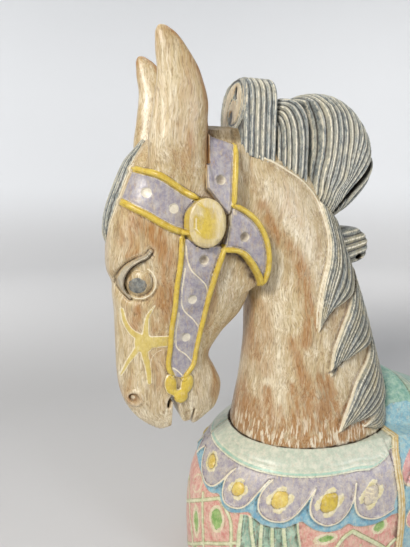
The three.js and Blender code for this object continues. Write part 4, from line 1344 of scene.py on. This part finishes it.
        # pale lime strokes; the short one on the neck's upper flank below the crest is a painted highlight of
        # the wax's sheen
        limed = sheet.strokes((
            (((-44, 402), (-39, 370), (-40, 336), (-42, 289), (-43, 243), (-43, 215)), 8, 12, 0.95),
            (((-22, 484), (-4, 467), (9, 452)), 6, 6, 0.4), (((-30, 440), (-12, 425), (0, 400)), 3, 3, 0.8),
            (((-80, 188), (-75, 240), (-65, 290), (-66, 340)), 5, 5, 0.6),
            (((20, 300), (40, 280), (60, 250)), 6, 8, 0.7), (((55, 345), (75, 330)), 4, 4, 0.6)))
        paint["warm"] = sheet.at(blush, px, pz)
        paint["drip"] = ramp(pz, 236, 186)
        paint["calm"] = 0.9 * ramp(paint["cream"], 1.5, 0.0)
        paint["wash"] = np.clip(0.3 + 0.15 * ramp(pz, 330, 190) + 0.6 * sheet.at(limed, px, pz), 0, 1)
        scorched = sheet.strokes(((((12, 258), (15, 238), (12, 212)), 5, 9, 0.2),
                                  (((2, 300), (0, 262)), 2, 5, 0.14)))
        paint["stain"] = np.maximum(paint["stain"], sheet.at(scorched, px, pz) * (paint["hair"] > 0))
        ragged = 0.6 * np.sin(0.23 * px) + 0.5 * np.sin(0.61 * px + 2.0)
        paint["stain"] = np.maximum(paint["stain"], ramp(pz + ragged, 176.0, 174.0))
        return piece_of("neck", shell, paint, finish, self.node)


# ---- the crest ----------------------------------------------------------------------------------

@dataclass
class Crest:
    """The three tufts of the upper mane: a rolled barrel, a fold, and a great fan."""

    node: str = "head_and_neck"
    step: float = 1.15
    roll_from: float = -81.0
    roll_to: float = -40.5
    roll_pitch: float = 6.8
    fold: Points = ((-41, 500), (-41, 530), (-41, 558), (-39, 575), (-30, 582), (-18, 583.5), (-4, 578),
                    (6, 564), (9, 543), (9, 510), (7, 480), (-16, 486))
    fold_guides: tuple[Points, ...] = (
        ((-38, 500), (-38, 530), (-39, 552), (-42, 560)),
        ((-19, 492), (-20, 531), (-23, 552), (-31, 565), (-44, 569)),
        ((5, 478), (8, 518), (7, 544), (0, 565), (-14, 579), (-44, 582)))
    fan: Points = ((7, 470), (9.5, 510), (9, 548), (3, 564), (-9, 577), (-3, 585), (8, 589), (24, 590.5),
                   (39, 589), (53, 584), (67, 575.5), (80, 563), (92, 546), (100, 526), (102, 508), (97, 490),
                   (86, 474), (72, 460), (57, 450), (34, 440))
    fan_guides: tuple[Points, ...] = (
        ((7, 470), (10, 518), (8, 548), (2, 565), (-8, 579), (-20, 592)),
        ((22, 452), (25, 490), (31, 518), (32, 546), (28, 564), (17, 579), (2, 598)),
        ((30, 448), (38, 475), (50, 492), (54, 519), (55, 541), (50, 563), (40, 582), (28, 604)),
        ((38, 446), (46, 474), (61, 496), (72, 517), (79, 541), (78, 560), (70, 578), (62, 604)),
        ((46, 444), (56, 470), (73, 488), (89, 505), (99, 528), (102, 552), (98, 574), (90, 604)),
        ((58, 440), (76, 458), (92, 474), (105, 490), (112, 512), (115, 540), (112, 574), (108, 604)))

    def roll(self, block: Block) -> tuple[np.ndarray, Drawing]:
        """The barrel roll over the poll, and the drawing of its scrolled end."""
        x, y, z = block.axes()
        face = Drawing((-48, 480), (48, 620))
        loop = face.oval((0, 572.5), 35.5, 29, 2.5)
        root = face.outline(np.array([(-34, 490), (-36, 575), (36, 575), (34, 490)], float))
        spiral = face.line(curve(((27, 540), (29, 570), (20, 594), (-4, 600), (-20, 590), (-25, 568),
                                  (-16, 553), (2, 552), (12, 563), (9, 578), (-4, 583), (-12, 574))), 1.2,
                                  1.0)
        eyes = np.minimum(face.oval((-3, 586), 5.0, 7.5), face.oval((3, 560), 5.5, 7.5))
        face.layers.update(eyes=eyes, scroll=np.minimum(spiral - 0.6, np.abs(loop + 1.5) - 2.6))
        yy, zz = np.broadcast_arrays(y[0], z[0])
        lean = 0.13 * (z - 560)
        phase = (x - self.roll_from) / self.roll_pitch
        ridges = 1.7 * np.abs(np.sin(math.pi * phase)) ** 0.8
        end = face.at(1.6 * ramp(spiral, 1.2, -0.6) + 9.0 * ramp(eyes, 1.0, -3.0), yy, zz)
        barrel = face.at(loop, yy, zz)[None] - ridges
        barrel = np.maximum(barrel, np.maximum(self.roll_from + lean - x + end[None], x - self.roll_to))
        foot = face.at(root, yy, zz)[None] - ridges
        foot = np.maximum(foot, np.maximum(self.roll_from + 1.5 + lean - x, x - self.roll_to))
        return joined(barrel, foot, 0.8), face

    def build(self, finish: bpy.types.Material) -> bpy.types.Object:
        """Makes the crest.

        Args:
            finish: the painted hair.
        """
        block = Block((-92, -50, 436), (124, 50, 614), self.step)
        x, y, z = block.axes()
        grid = np.broadcast_arrays(x[:, 0], z[0])
        sheet = Drawing((-100, 425), (135, 625))
        fold = sheet.outline(curve((*self.fold, self.fold[0])))
        fan = sheet.outline(curve((*self.fan, self.fan[0])))
        fold_rib = sheet.fan([curve(g) for g in self.fold_guides]) * 6
        fan_rib = sheet.fan([curve(g) for g in self.fan_guides], 300, 300) * 16
        cave = sheet.line(curve(((33, 443), (48, 463), (62, 479), (78, 494), (90, 514), (95, 530))), 1.6, 5.5)
        fold_rise = 1.7 * np.abs(np.sin(math.pi * fold_rib)) ** 0.8
        fan_rise = 1.7 * np.abs(np.sin(math.pi * fan_rib)) ** 0.8 - 12 * ramp(cave, 1.0, -4.0)
        roll, face = self.roll(block)
        folded = pillow(sheet.at(fold, *grid), 33.0, 15.0, y) - sheet.at(fold_rise, *grid)[:, None, :]
        fanned = pillow(sheet.at(fan, *grid), 40.0, 26.0, y) - sheet.at(fan_rise, *grid)[:, None, :]
        form = joined(joined(roll, folded, 0.8), fanned, 0.8)
        floor = curve(Neck.crest_line[:11])
        below = sheet.outline(np.vstack([[[-100, 400]], [[-100, 519]], floor - [0, 4],
                                         [[60, 436], [60, 400]]]))
        form = carved(form, sheet.at(below, *grid)[:, None, :] + 0 * y, 0.0)
        shell = block.skin(form.astype(np.float32))
        px, py, pz = shell.points.T
        on_fan = sheet.at(fan, px, pz) < sheet.at(fold, px, pz)
        on_roll = px < self.roll_to + 0.6
        end = px < self.roll_from + 0.13 * (pz - 560) + 1.0
        rib = np.where(on_fan, sheet.at(fan_rib, px, pz), sheet.at(fold_rib, px, pz))
        rib = np.where(on_roll, (px - self.roll_from) / self.roll_pitch, rib)
        rib = np.where(end, 0.62, rib)
        # painted shade in the deep cave under the fan
        stain = 0.95 * ramp(sheet.at(cave, px, pz), 1.2, -2.0) * (on_fan & ~on_roll)
        # painted shade in the scroll's deep eyes, with warmer wood round them
        eyes = face.at(face.layers["eyes"], py, pz)
        in_eye = px < self.roll_from + 14
        paint = {"hair": np.where(end, face.at(face.layers["scroll"], py, pz), -3.0), "rib": rib,
                 "stain": np.where(in_eye, 0.75 * ramp(eyes, 0.5, -1.5), stain),
                 "warm": np.where(in_eye, 0.7 * ramp(eyes, 3.0, 0.0), 0.0),
                 "cream": np.full(len(px), FAR / 3), "wash": np.where(end, 0.6, 0.3)}
        return piece_of("crest", shell, paint, finish, self.node)

# ---- the chest ----------------------------------------------------------------------------------

@dataclass
class Chest:
    """The cut chest: collar, scalloped border with its flowers, breast cloth, and the saddle's front."""

    node: str = "chest"
    step: float = 1.45
    height: float = 172.0
    back: float = 231.0
    corner: float = 20.0
    seam_gap: float = 0.5
    relief_reach: float = 8.0       # how far from the plain skin the relief is worked out
    rings_start: float = 285.0      # the girth past which the blue cloth's rings are raised
    relief_low: float = 4.0         # below this the chest is plain, mm
    relief_back: float = 6.0        # how far before the flat back the relief stops
    saddle_round: float = 9.0       # radius of the hollow where the saddle meets the chest
    form: Points = (
        (0, -133, 45, 116), (45, -135, 45, 120), (76, -133, 45, 121), (106, -129, 45, 119),
        (126, -121, 45, 115), (148, -106, 42, 106), (163, -90, 38, 95), (172, -74, 35.5, 86))
    saddle: Points = ((112, 200, 50), (136, 222, 60), (156, 229, 70), (182, 217, 90), (231, 196, 112))
    band_x: tuple[float, float] = (92.0, 102.5)
    scallops: tuple[Points, ...] = (
        ((-20, 133), (-16, 141), (-10, 148)),
        ((-6, 148), (0, 141), (9, 133), (20, 126), (30, 122.5), (39, 124), (46, 132), (51, 147)),
        ((53, 150), (50, 140), (52, 130), (56, 121), (62, 114.5), (71, 112), (80, 113), (87, 118), (91, 127),
         (96, 147)),
        ((99, 148), (96.5, 137), (98, 126), (103, 116), (112, 109), (124, 106), (136, 108), (144, 115),
         (149, 126), (152, 140)),
        ((152, 141), (154, 131), (157, 122), (163, 113), (172, 106), (184, 101.5), (196, 104), (204, 112),
         (206.5, 122), (205, 132), (200, 142)),
        ((200, 142), (206, 130), (212, 119), (220, 109), (231, 102.5), (245, 98.5), (258, 99), (272, 104)))
    hem: Points = (
        (-14, 130), (0, 128), (12, 125), (25, 118), (38, 115), (50, 118), (58, 110), (70, 104), (82, 107),
        (92, 110), (101, 103), (112, 98.5), (125, 97), (140, 99), (153, 106), (160, 102), (170, 96),
        (185, 92),
        (200, 93), (211, 98), (219, 94), (230, 91), (243, 89.5), (256, 90), (272, 95))
    flowers: Points = ((18.5, 143.5, 9.5), (69.5, 131.5, 10.5), (119.5, 129, 13), (177, 126, 14.5),
                       (231, 126, 14.5))
    petal_ways: Points = ((-0.5, 0.87), (1, 0.03), (0.48, -0.88), (-1, 0.08))
    pleats: Points = ((85, 86), (96.5, 103.5), (109.5, 111.5), (121.5, 125.5), (134, 140.5), (151, 159))

    def girth_table(self) -> tuple[np.ndarray, np.ndarray, np.ndarray]:
        """Distance round the breast at a height, for each angle from the front to the flank."""
        heights = np.arange(0.0, self.height + 4, 4.0)
        angles = np.linspace(0, math.pi / 2, 91)
        rows = []
        for breast, turn, half in Profile(self.form)(heights):
            x, y = -(turn - breast) * np.cos(angles), half * np.sin(angles)
            rows.append(np.concatenate([[0], np.cumsum(np.hypot(np.diff(x), np.diff(y)))]))
        return heights, angles, np.array(rows)

    def girth(self, x: np.ndarray, y: np.ndarray, z: np.ndarray) -> np.ndarray:
        """Distance round the breast from the middle of the front, at any place near the surface."""
        heights, angles, table = self.girth_table()
        level = np.clip(z, 0, self.height)
        breast, turn, half = Profile(self.form)(level.ravel()).T.reshape(3, *level.shape)
        angle = np.arctan2(np.abs(y) / half, np.maximum(turn - x, 0) / (turn - breast))
        i = np.clip(level / 4.0, 0, len(heights) - 1.001)
        j = np.clip(angle / angles[1], 0, len(angles) - 1.001)
        i0, j0 = i.astype(int), j.astype(int)
        s, t = i - i0, j - j0
        front = ((table[i0, j0] * (1 - s) + table[i0 + 1, j0] * s) * (1 - t)
                 + (table[i0, j0 + 1] * (1 - s) + table[i0 + 1, j0 + 1] * s) * t)
        front = front + np.maximum(x - turn, 0)
        return np.where(y > 0, np.maximum(-front, front - 40), front)

    def torso(self) -> Shell:
        """The plain chest, with its flat base, flat back and rounded corners."""
        levels = np.concatenate([np.arange(0, 148, 6.0), np.arange(148, 172, 2.0), [self.height]])
        form = Profile(self.form)
        rings = []
        for z, (breast, turn, half) in zip(levels, form(levels)):
            angle = np.linspace(-math.pi / 2, math.pi / 2, 81)
            front = np.column_stack([turn - (turn - breast) * np.cos(angle), -half * np.sin(angle)])
            flank = np.column_stack([np.linspace(turn, self.back - self.corner, 24)[1:], np.full(23, -half)])
            turned = np.linspace(0, math.pi / 2, 9)[1:]
            bend = np.column_stack([self.back - self.corner * (1 - np.sin(turned)),
                                    -half + self.corner * (1 - np.cos(turned))])
            near = np.vstack([flank, bend])
            outline = np.vstack([front, near, (near * [1, -1])[::-1]])
            rings.append(np.column_stack([outline, np.full(len(outline), z)]))
        return loft(np.array(rings))

    def saddle_front(self) -> Shell:
        """The withers and the rolled front of the saddle, rising behind the neck."""
        form = Profile(self.saddle)
        places = np.linspace(self.saddle[0][0], self.back, 40)
        rings = []
        for x, (top, half) in zip(places, form(places)):
            tall = (top - 60) / 2
            outline = round_section(half, tall, 2.2, 64)
            rings.append(np.column_stack([np.full(64, x), outline[:, 0], outline[:, 1] + 60 + tall]))
        return loft(np.array(rings))

    def drawing(self) -> Drawing:
        """Draws the cloths, by distance round the breast and height."""
        sheet = Drawing((-20, -4), (440, 180))
        layers = sheet.layers
        collar_edge = curve(((-20, 158), (20, 157), (60, 154), (105, 152), (150, 152), (190, 153),
                             (214, 151.5),
                             (226, 155), (233, 161), (240, 172)))
        collar = sheet.outline(np.vstack([collar_edge, [[240, 200], [-20, 200]]]))
        hem = curve(self.hem)
        border = sheet.outline(np.vstack([hem, [[300, 95], [300, 200], [-20, 200], [-20, 130]]]))
        lines = [curve(s) for s in self.scallops]
        u_shapes = [sheet.line(line, 1.0) for line in lines]
        cups = [sheet.outline(np.vstack([line, [[line[-1][0], 185], [line[0][0], 185]]])) for line in lines]
        cup = np.minimum.reduce(cups)
        above = sheet.outline(np.array([(-20, 146), (50, 149), (98, 147), (152, 141), (200, 142), (272, 128),
                                        (300, 200), (-20, 200)], float))
        ribbon = np.minimum.reduce(u_shapes)
        blue = np.maximum(border, -np.minimum(cup, above))
        petals = sheet.oval(self.flowers[0][:2], 12.5, 8.0, turn=147)
        hearts = [sheet.blank() for _ in range(3)]
        for k, (u, v, size) in enumerate(self.flowers):
            kind = max(0, k - 2)
            long, short, turn = (8.8, 5.2, 147) if k == 0 else (size * 0.7, size * 0.64, -60)
            hearts[kind] = np.minimum(hearts[kind], sheet.oval((u, v), long, short, turn=turn))
            for du, dv in self.petal_ways if k else ():
                centre = (u + du * 0.72 * size, v + dv * 0.72 * size)
                way = math.degrees(math.atan2(dv, du))
                petals = np.minimum(petals, sheet.oval(centre, 0.46 * size, 0.52 * size, 1.6, way))
        heart = np.minimum.reduce(hearts)
        petals = np.maximum(petals, -heart)
        pleat_zone = sheet.outline(np.array([(84, -4), (83, 106), (150, 106), (159, 70), (163, -4)], float))
        pleat = sheet.blank()
        for top, low in self.pleats:
            run = np.array([(top * 1.2 - low * 0.2, 106), (low, 70), (low + (low - top) * 0.4, -4)], float)
            pleat = np.minimum(pleat, sheet.line(run, 1.9, 2.6))
        plaid = sheet.blank()
        for points in (((-20, 66), (15, 91), (35, 104), (54, 115)),
                       ((-20, 2), (15, 29), (42, 49), (62, 59), (84, 69)),
                       ((-18, 100), (-6, 85), (2, 66), (11, 48), (14, 27), (15, -4)),
                       ((27, 108), (33, 78), (37, 49), (40, -4)),
                       ((53, 114), (65, 104), (72, 95), (76, 76), (79, -4))):
            plaid = np.minimum(plaid, sheet.line(curve(points), 1.5))
        leaves = sheet.blank()
        for u, v, long, short, turn in (
                (20, 65, 14, 5, 98), (54, 88, 13, 8, 94), (22, 18, 12, 6, 95), (58, 28, 13, 7, 90),
                (185.5, 83, 9, 4, 5), (257, 84, 8, 7, 0), (190, 30, 11, 6, 20), (250, 34, 10, 7, 60),
                (172, 50, 8, 5, 30)):
            leaves = np.minimum(leaves, sheet.oval((u, v), long, short, 1.7, turn))
        leaves = np.maximum(leaves, 4 - pleat_zone)
        rose = np.minimum(sheet.oval((10, 111), 12, 9.5, turn=60), sheet.oval((222, 62), 12, 9))
        lattice = sheet.blank()
        for points in (((172, 20), (192, 54), (207, 81), (218, 88)),
                       ((218, 88), (240, 73), (262, 57), (280, 40)),
                       ((225, -4), (262, 36), (275, 53), (289, 63)),
                       ((160, 62), (182, 40), (207, 16), (225, -4))):
            lattice = np.minimum(lattice, sheet.line(curve(points), 2.1))
        side_rings = np.minimum.reduce([sheet.oval((291, 153), 23, 29), sheet.oval((312, 84), 16),
                                        sheet.oval((352, 116), 18), sheet.oval((350, 44), 17),
                                        sheet.oval((392, 80), 18), sheet.oval((390, 150), 16),
                                        sheet.oval((398, 14), 16), sheet.oval((312, 18), 15)])
        # lines along the carved edges of the cloths that the finish darkens as painted shade
        outline = np.minimum.reduce([
            np.abs(heart), np.abs(ribbon - 0.5), np.abs(border - 0.3), np.abs(collar - 0.4),
            np.maximum(np.abs(leaves - 0.5) + 0.2, -border), np.maximum(np.abs(lattice - 0.7), -border),
            np.maximum(np.abs(plaid - 0.6) + 0.2, -border), np.abs(side_rings),
            np.maximum(np.abs(pleat - 0.4) - 0.2, np.maximum(pleat_zone, -border)),
            np.abs(collar + 1.6) + 0.2])
        layers.update(rose=np.abs(rose) - 1.1, halo=leaves - 3.2, olive=np.minimum(plaid, lattice) - 1.0,
                      collar=collar, blue=blue, border=border, ribbon=ribbon, petals=petals, outline=outline,
                      heart=hearts[0], deep_heart=hearts[1], faded_heart=hearts[2],
                      pleat_zone=pleat_zone, pleat=np.maximum(pleat, pleat_zone), plaid=plaid, leaves=leaves,
                      lattice=lattice, side_rings=side_rings)
        layers["rise"] = self.relief(layers, heart, pleat)
        return sheet

    def relief(self, layers: dict[str, np.ndarray], hearts: np.ndarray, pleat: np.ndarray) -> np.ndarray:
        """Height of the carving over the plain chest.

        Args:
            layers: the sheet's paint layers.
            hearts: distance to the flowers' hearts, all kinds together.
            pleat: distance to the pleats, before they are cut off at their zone.

        Returns:
            The height, in mm.
        """
        collar, border, ribbon, petals = (layers[k] for k in ("collar", "border", "ribbon", "petals"))
        pleat_zone, plaid, leaves, lattice = (layers[k] for k in ("pleat_zone", "plaid", "leaves", "lattice"))
        side_rings = layers["side_rings"]
        rise = 2.2 * ramp(border, 0.6, -1.4)
        rise = rise + 1.4 * ramp(collar, 0.6, -0.8)
        for ledge in (1.8, 4.4, 8.6):
            rise = rise - 0.6 * dome(np.abs(collar + ledge), 1.1)
        rise = rise - 0.8 * ramp(layers["blue"], 0.4, -1.2)
        rise = rise + 1.8 * dome(np.clip(ribbon + 1.0, 0, None), 2.0)
        rise = rise + 1.9 * dome(np.clip(hearts + 7, 0, None), 7.4) - 0.9 * dome(np.abs(hearts), 1.3)
        rise = rise + 0.5 * ramp(petals, 1.0, -2.5)
        folds = 2.6 * dome(np.clip(pleat + 1.4, 0, None), 2.6) - 1.8 * ramp(pleat_zone, 0.0, -3.0)
        rise = np.where((pleat_zone < 0) & (border > 0), folds, rise)
        low = (border > 0) & (pleat_zone > 0)
        strokes = 0.8 * dome(np.clip(plaid + 1.5, 0, None), 2.4) + 1.3 * dome(np.clip(lattice + 2.1, 0,
                                                                                      None), 2.8)
        rise = rise + np.where(low, strokes - 1.0 * ramp(leaves, 1.0, -2.0), 0.0)
        return rise + 1.2 * ramp(side_rings, 0.5, -1.5) - 0.8 * dome(np.abs(side_rings + 3.4), 1.2)

    def seat(self, u: float, z: float, side: int) -> tuple[np.ndarray, np.ndarray]:
        """The place and the outward direction at a girth and a height, on a flank (-1 is near)."""
        heights, angles, table = self.girth_table()
        rows = [np.interp(z, heights, table[:, k]) for k in range(len(angles))]

        def at(girth: float, level: float) -> np.ndarray:
            """The place at a girth and a height."""
            breast, turn, half = Profile(self.form)(level)[0]
            if girth > rows[-1]:
                return np.array([turn + girth - rows[-1], side * half, level])
            angle = np.interp(girth, rows, angles)
            return np.array([turn - (turn - breast) * math.cos(angle), side * half * math.sin(angle), level])

        place = at(u, z)
        out = np.cross(at(u + 1, z) - place, at(u, z + 1) - place) * -side
        return place, out / np.linalg.norm(out)

    def hearts(self, finish: bpy.types.Material) -> bpy.types.Object:
        """Makes the round hearts of the border's flowers, as low domes on the cloth."""
        spots = []
        for side, shift in ((-1, 0), (1, 40)):
            spots += [(*self.seat(u + shift, v, side), (0.68 * size, 0.68 * size, 2.2))
                      for u, v, size in self.flowers[1:]]
        places, facing, sizes = (np.array([s[k] for s in spots], float) for k in range(3))
        shell = buttons("flower_hearts", places + facing * 2.0, facing, sizes, finish)
        nearest = np.argmin(np.linalg.norm(shell.points[:, None] - places[None], axis=2), axis=1)
        nearest = nearest % (len(self.flowers) - 1)
        far = np.full(len(shell.points), FAR / 3)
        hatch = np.abs((shell.points[:, 2] + 0.3 * shell.points[:, 0]) % 4.6 - 2.3) - 0.8
        paint = {each.edge: far for each in CLOTH_PAINTS}
        for label, kinds in (("heart", (0, 1)), ("deep_heart", (2,)), ("faded_heart", (3,))):
            paint[label] = np.where(np.isin(nearest, kinds), -3.0, FAR / 3)
        paint["ring_edge"] = np.where(nearest == 3, hatch, FAR / 3)
        paint["wash"], paint["hollow"] = np.full(len(far), 0.75), np.full(len(far), -0.1)
        return piece_of("flower_hearts", shell, paint, finish, self.node)

    def build(self, finish: bpy.types.Material) -> bpy.types.Object:
        """Makes the chest.

        Args:
            finish: the painted cloths.
        """
        block = Block((-142, -128, -6), (238, 128, 236), self.step, reach=9.0)
        form = block.field(self.torso())
        saddle = block.field(self.saddle_front())
        x, y, z = block.axes()
        sheet = self.drawing()
        near = np.abs(form) < self.relief_reach
        i, j, k = np.nonzero(near)
        px, py, pz = x[i, 0, 0], y[0, j, 0], z[0, 0, k]
        u = self.girth(px, py, pz)
        in_front = px < self.band_x[0]
        lift = sheet.at(sheet.layers["rise"], u, pz)
        beyond = px > self.band_x[1]
        flank = (pz > self.relief_low) & (px < self.back - self.relief_back)
        band = self.band_at(px, pz)
        lift = np.where(in_front, lift, 0) + np.where(beyond & (u > self.rings_start), lift, 0.0)
        lift = np.where(band < 0.8, 2.6 * ramp(band, 0.8, -1.0) - 0.9 * dome(band + 5.2, 1.2), lift)
        lift = np.where(flank, lift, 0.0)
        form[i, j, k] -= lift.astype(np.float32)
        form = joined(form, saddle, self.saddle_round)
        neck = block.field(upright_loft(Neck.column, np.arange(SEAM, 260, 4.0), 120))
        form = carved(form, (neck - self.seam_gap).astype(np.float32), 0.0)
        form = np.maximum(form, np.maximum(-z, x - self.back).astype(np.float32))
        shell = block.skin(form)
        px, py, pz = shell.points.T
        u = self.girth(px, py, pz)
        band = self.band_at(px, pz)
        behind = px > 97 + self.lean(pz)
        cut = np.minimum(pz - 0.8, self.back - 0.8 - px)
        top = np.interp(px, *np.array(self.saddle)[:, :2].T)
        saddle_at = np.where(px > 100, np.maximum(top - pz - 22 - 0.0022 * py ** 2, 181 - pz), FAR / 3)
        at = {label: sheet.at(layer, u, pz) for label, layer in sheet.layers.items() if label != "rise"}
        under = -at["border"]
        paint = {
            "pink": np.where(at["border"] > 0, -3.0, FAR / 3),
            "teal": np.maximum(at["pleat_zone"], under), "green": np.maximum(at["leaves"], under),
            "halo": np.maximum(at["halo"], under), "olive": np.maximum(at["olive"], under),
            "rose": np.maximum(at["rose"], under),
            "lines": np.maximum(np.minimum.reduce([at["plaid"], at["lattice"], at["pleat"]]), under),
            "lilac": at["border"], "blue": at["blue"], "celadon": at["collar"],
            "rim": np.abs(at["collar"] + 2.9) - 0.9,
            "rim_light": np.minimum(np.abs(at["collar"] + 0.8) - 0.7, np.abs(at["collar"] + 4.9) - 0.35),
            "ribbon": np.minimum(at["ribbon"], np.abs(at["border"]) - 0.4),
            "petal": at["petals"], "heart": at["heart"], "deep_heart": at["deep_heart"],
            "faded_heart": at["faded_heart"], "outline": at["outline"],
        }
        ahead = np.where(behind, FAR / 3, -FAR / 3)
        for label in paint:
            paint[label] = np.maximum(paint[label], ahead)
        paint["blue"] = np.minimum(paint["blue"], np.where(behind, -3.0, FAR / 3))
        ring = np.where(behind, at["side_rings"], FAR / 3)
        paint["ringed"] = ring
        paint["ring_edge"] = np.abs(ring + 0.6) - 0.9
        paint["ring_eye"] = ring + 13.0
        # painted shade lines also round the rings, along the trim and along the saddle's edge
        paint["outline"] = np.minimum.reduce([
            paint["outline"], np.abs(ring), np.abs(band), np.where(behind, np.abs(saddle_at) + 0.2, FAR)])
        paint["seat"] = saddle_at
        paint["trim"] = band
        paint["trim_line"] = np.abs(band + 3.2) - 1.1
        bare = cut < 0.4
        for label in paint:
            paint[label] = np.where(bare, FAR / 3, paint[label])
        paint["wash"] = np.where(bare, 0.1, 0.75)
        wander = 0.7 * np.sin(0.21 * px) + 0.5 * np.sin(0.57 * px + 1.0)
        paint["stain"] = ramp(np.abs(self.seam_distance(px, py, pz) - 0.6) + 0.4 * wander, 2.6, 1.0)
        self.hearts(finish)
        return piece_of("chest_and_cloths", shell, paint, finish, self.node)

    def band_at(self, x: np.ndarray, z: np.ndarray) -> np.ndarray:
        """Distance to the trim behind the cloths, which leans back towards the withers."""
        low, high = self.band_x
        return np.abs(x - (low + high) / 2 - self.lean(z)) - (high - low) / 2

    def lean(self, z: np.ndarray) -> np.ndarray:
        """How far back the trim has leaned at a height."""
        return 5.0 * ramp(z, 140, 165) + 13.0 * ramp(z, 158, 182)

    def seam_distance(self, x: np.ndarray, y: np.ndarray, z: np.ndarray) -> np.ndarray:
        """Roughly how far a place on top of the chest is from the glue seam."""
        front, back, half = Neck.column[0][1:4]
        size = np.hypot((x - (front + back) / 2) / ((back - front) / 2), y / half)
        return np.where(z > self.height - 4, (size - 1) * half, FAR)

# ---- studio -------------------------------------------------------------------------------------

@dataclass
class Studio:
    """A pale sweep of paper, soft lamps, and the camera at head height. Sizes in metres."""

    paper: str = "#e9ebee"
    # the paper near the floor, darker as painted shade
    floor: str = "#cececf"
    floor_radius: float = 2.6
    sweep_radius: float = 1.4
    wall_height: float = 3.4
    target: tuple[float, float, float] = (-0.1125, 0.0, 0.380)
    azimuth: float = -19.0
    elevation: float = 10.0
    distance: float = 0.528
    lens: float = 28.96

    def backdrop(self) -> None:
        """Floor and wall in one seamless bowl round the bust."""
        profile = [(0.0, 0.0), (self.floor_radius, 0.0)]
        for angle in np.linspace(0, math.pi / 2, 17)[1:]:
            profile.append((self.floor_radius + self.sweep_radius * math.sin(angle),
                            self.sweep_radius * (1 - math.cos(angle))))
        profile.append((self.floor_radius + self.sweep_radius, self.wall_height))
        around = 96
        turn = np.arange(around) * 2 * math.pi / around
        points = [(r * math.cos(a), r * math.sin(a), z) for r, z in profile[1:] for a in turn]
        points.append((0.0, 0.0, 0.0))
        faces = [(k * around + i, k * around + (i + 1) % around, (k + 1) * around + (i + 1) % around,
                  (k + 1) * around + i)[::-1] for k in range(len(profile) - 2) for i in range(around)]
        faces += [(len(points) - 1, i, (i + 1) % around) for i in range(around)]
        mesh = bpy.data.meshes.new("paper_sweep")
        mesh.from_pydata(points, [], faces)
        mesh.polygons.foreach_set("use_smooth", np.ones(len(mesh.polygons), bool))
        s = Shading("matt background paper")
        # the paper darkens towards the floor as painted shade
        height = s.add("SeparateXYZ", {}, {"Vector": s.place}).outputs["Z"]
        shade = s.mixed(s.between(height, 0.0, 0.6), self.floor, self.paper)
        s.tree.links.new(shade, s.shader.inputs["Base Color"])
        s.shader.inputs["Roughness"].default_value = 0.95
        mesh.materials.append(s.material)
        paper = bpy.data.objects.new("paper_sweep", mesh)
        bpy.context.scene.collection.objects.link(paper)

    def lamp(self, name: str, place: Sequence[float], target: Sequence[float], size: float,
             power: float, colour: str) -> None:
        """A square softbox aimed at a place. Its power is in watts and its size in metres."""
        data = bpy.data.lights.new(name, "AREA")
        data.shape, data.size, data.energy = "SQUARE", size, power
        data.color = linear(colour)[:3]
        lamp = bpy.data.objects.new(name, data)
        lamp.location = place
        aim = Vector(target) - Vector(place)
        lamp.rotation_euler = aim.to_track_quat("-Z", "Y").to_euler()
        bpy.context.scene.collection.objects.link(lamp)

    def light(self) -> None:
        """A key from the upper left of the camera, a wide fill, and a soft surround."""
        middle = (-0.05, 0.0, 0.38)
        self.lamp("key", (-1.15, -0.95, 1.25), middle, 0.45, 23.0, "#fffaf2")
        self.lamp("window", (0.72, -1.24, 0.68), middle, 0.36, 6.0, "#f6f8ff")
        self.lamp("top", (0.1, 0.2, 1.9), middle, 0.8, 5.0, "#ffffff")
        for name, across, power in (("wall_left", -1.6, 38.0), ("wall_right", 1.6, 27.0)):
            self.lamp(name, (across, 1.0, 1.6), (across, 4.0, 0.8), 1.6, power, "#fffefc")
        world = bpy.data.worlds.new("studio")
        world.use_nodes = True
        world.node_tree.nodes["Background"].inputs["Color"].default_value = linear("#f7f7f6")
        world.node_tree.nodes["Background"].inputs["Strength"].default_value = 0.34
        bpy.context.scene.world = world
        bpy.context.scene.view_settings.view_transform = "Standard"

    def camera(self) -> None:
        """Stands the camera and makes it the scene's."""
        data = bpy.data.cameras.new("camera")
        data.lens = self.lens
        data.clip_start = 0.02
        made = bpy.data.objects.new("camera", data)
        a, e = math.radians(self.azimuth), math.radians(self.elevation)
        back = Vector((math.sin(a) * math.cos(e), -math.cos(a) * math.cos(e), math.sin(e)))
        made.location = Vector(self.target) + back * self.distance
        made.rotation_euler = (-back).to_track_quat("-Z", "Y").to_euler()
        bpy.context.scene.collection.objects.link(made)
        bpy.context.scene.camera = made

    def build(self) -> None:
        """Sets up backdrop, lamps and camera."""
        self.camera()
        self.backdrop()
        self.light()


# ---- the bust -----------------------------------------------------------------------------------

def main() -> None:
    """Builds the bust in the frame."""
    logging.basicConfig(level=logging.INFO, format="%(name)s %(message)s")
    Studio().build()
    face = LimedWood("limed jelutong with rubbed casein paint", paints=FACE_PAINTS, hair=True).material()
    hair = LimedWood("limed jelutong with combed casein paint", paints=(CREAM,), hair=True).material()
    locks = LimedWood("limed jelutong, locks of the mane", slate=("#92948a", "#565d5e"), bleached="#b3a681",
                      paints=(CREAM,), hair=True).material()
    Head().build(face)
    Neck().build(locks)
    Crest().build(hair)
    cloths = LimedWood("limed jelutong under casein paint", paints=CLOTH_PAINTS).material()
    Chest().build(cloths)


if __name__ == "__main__":
    main()
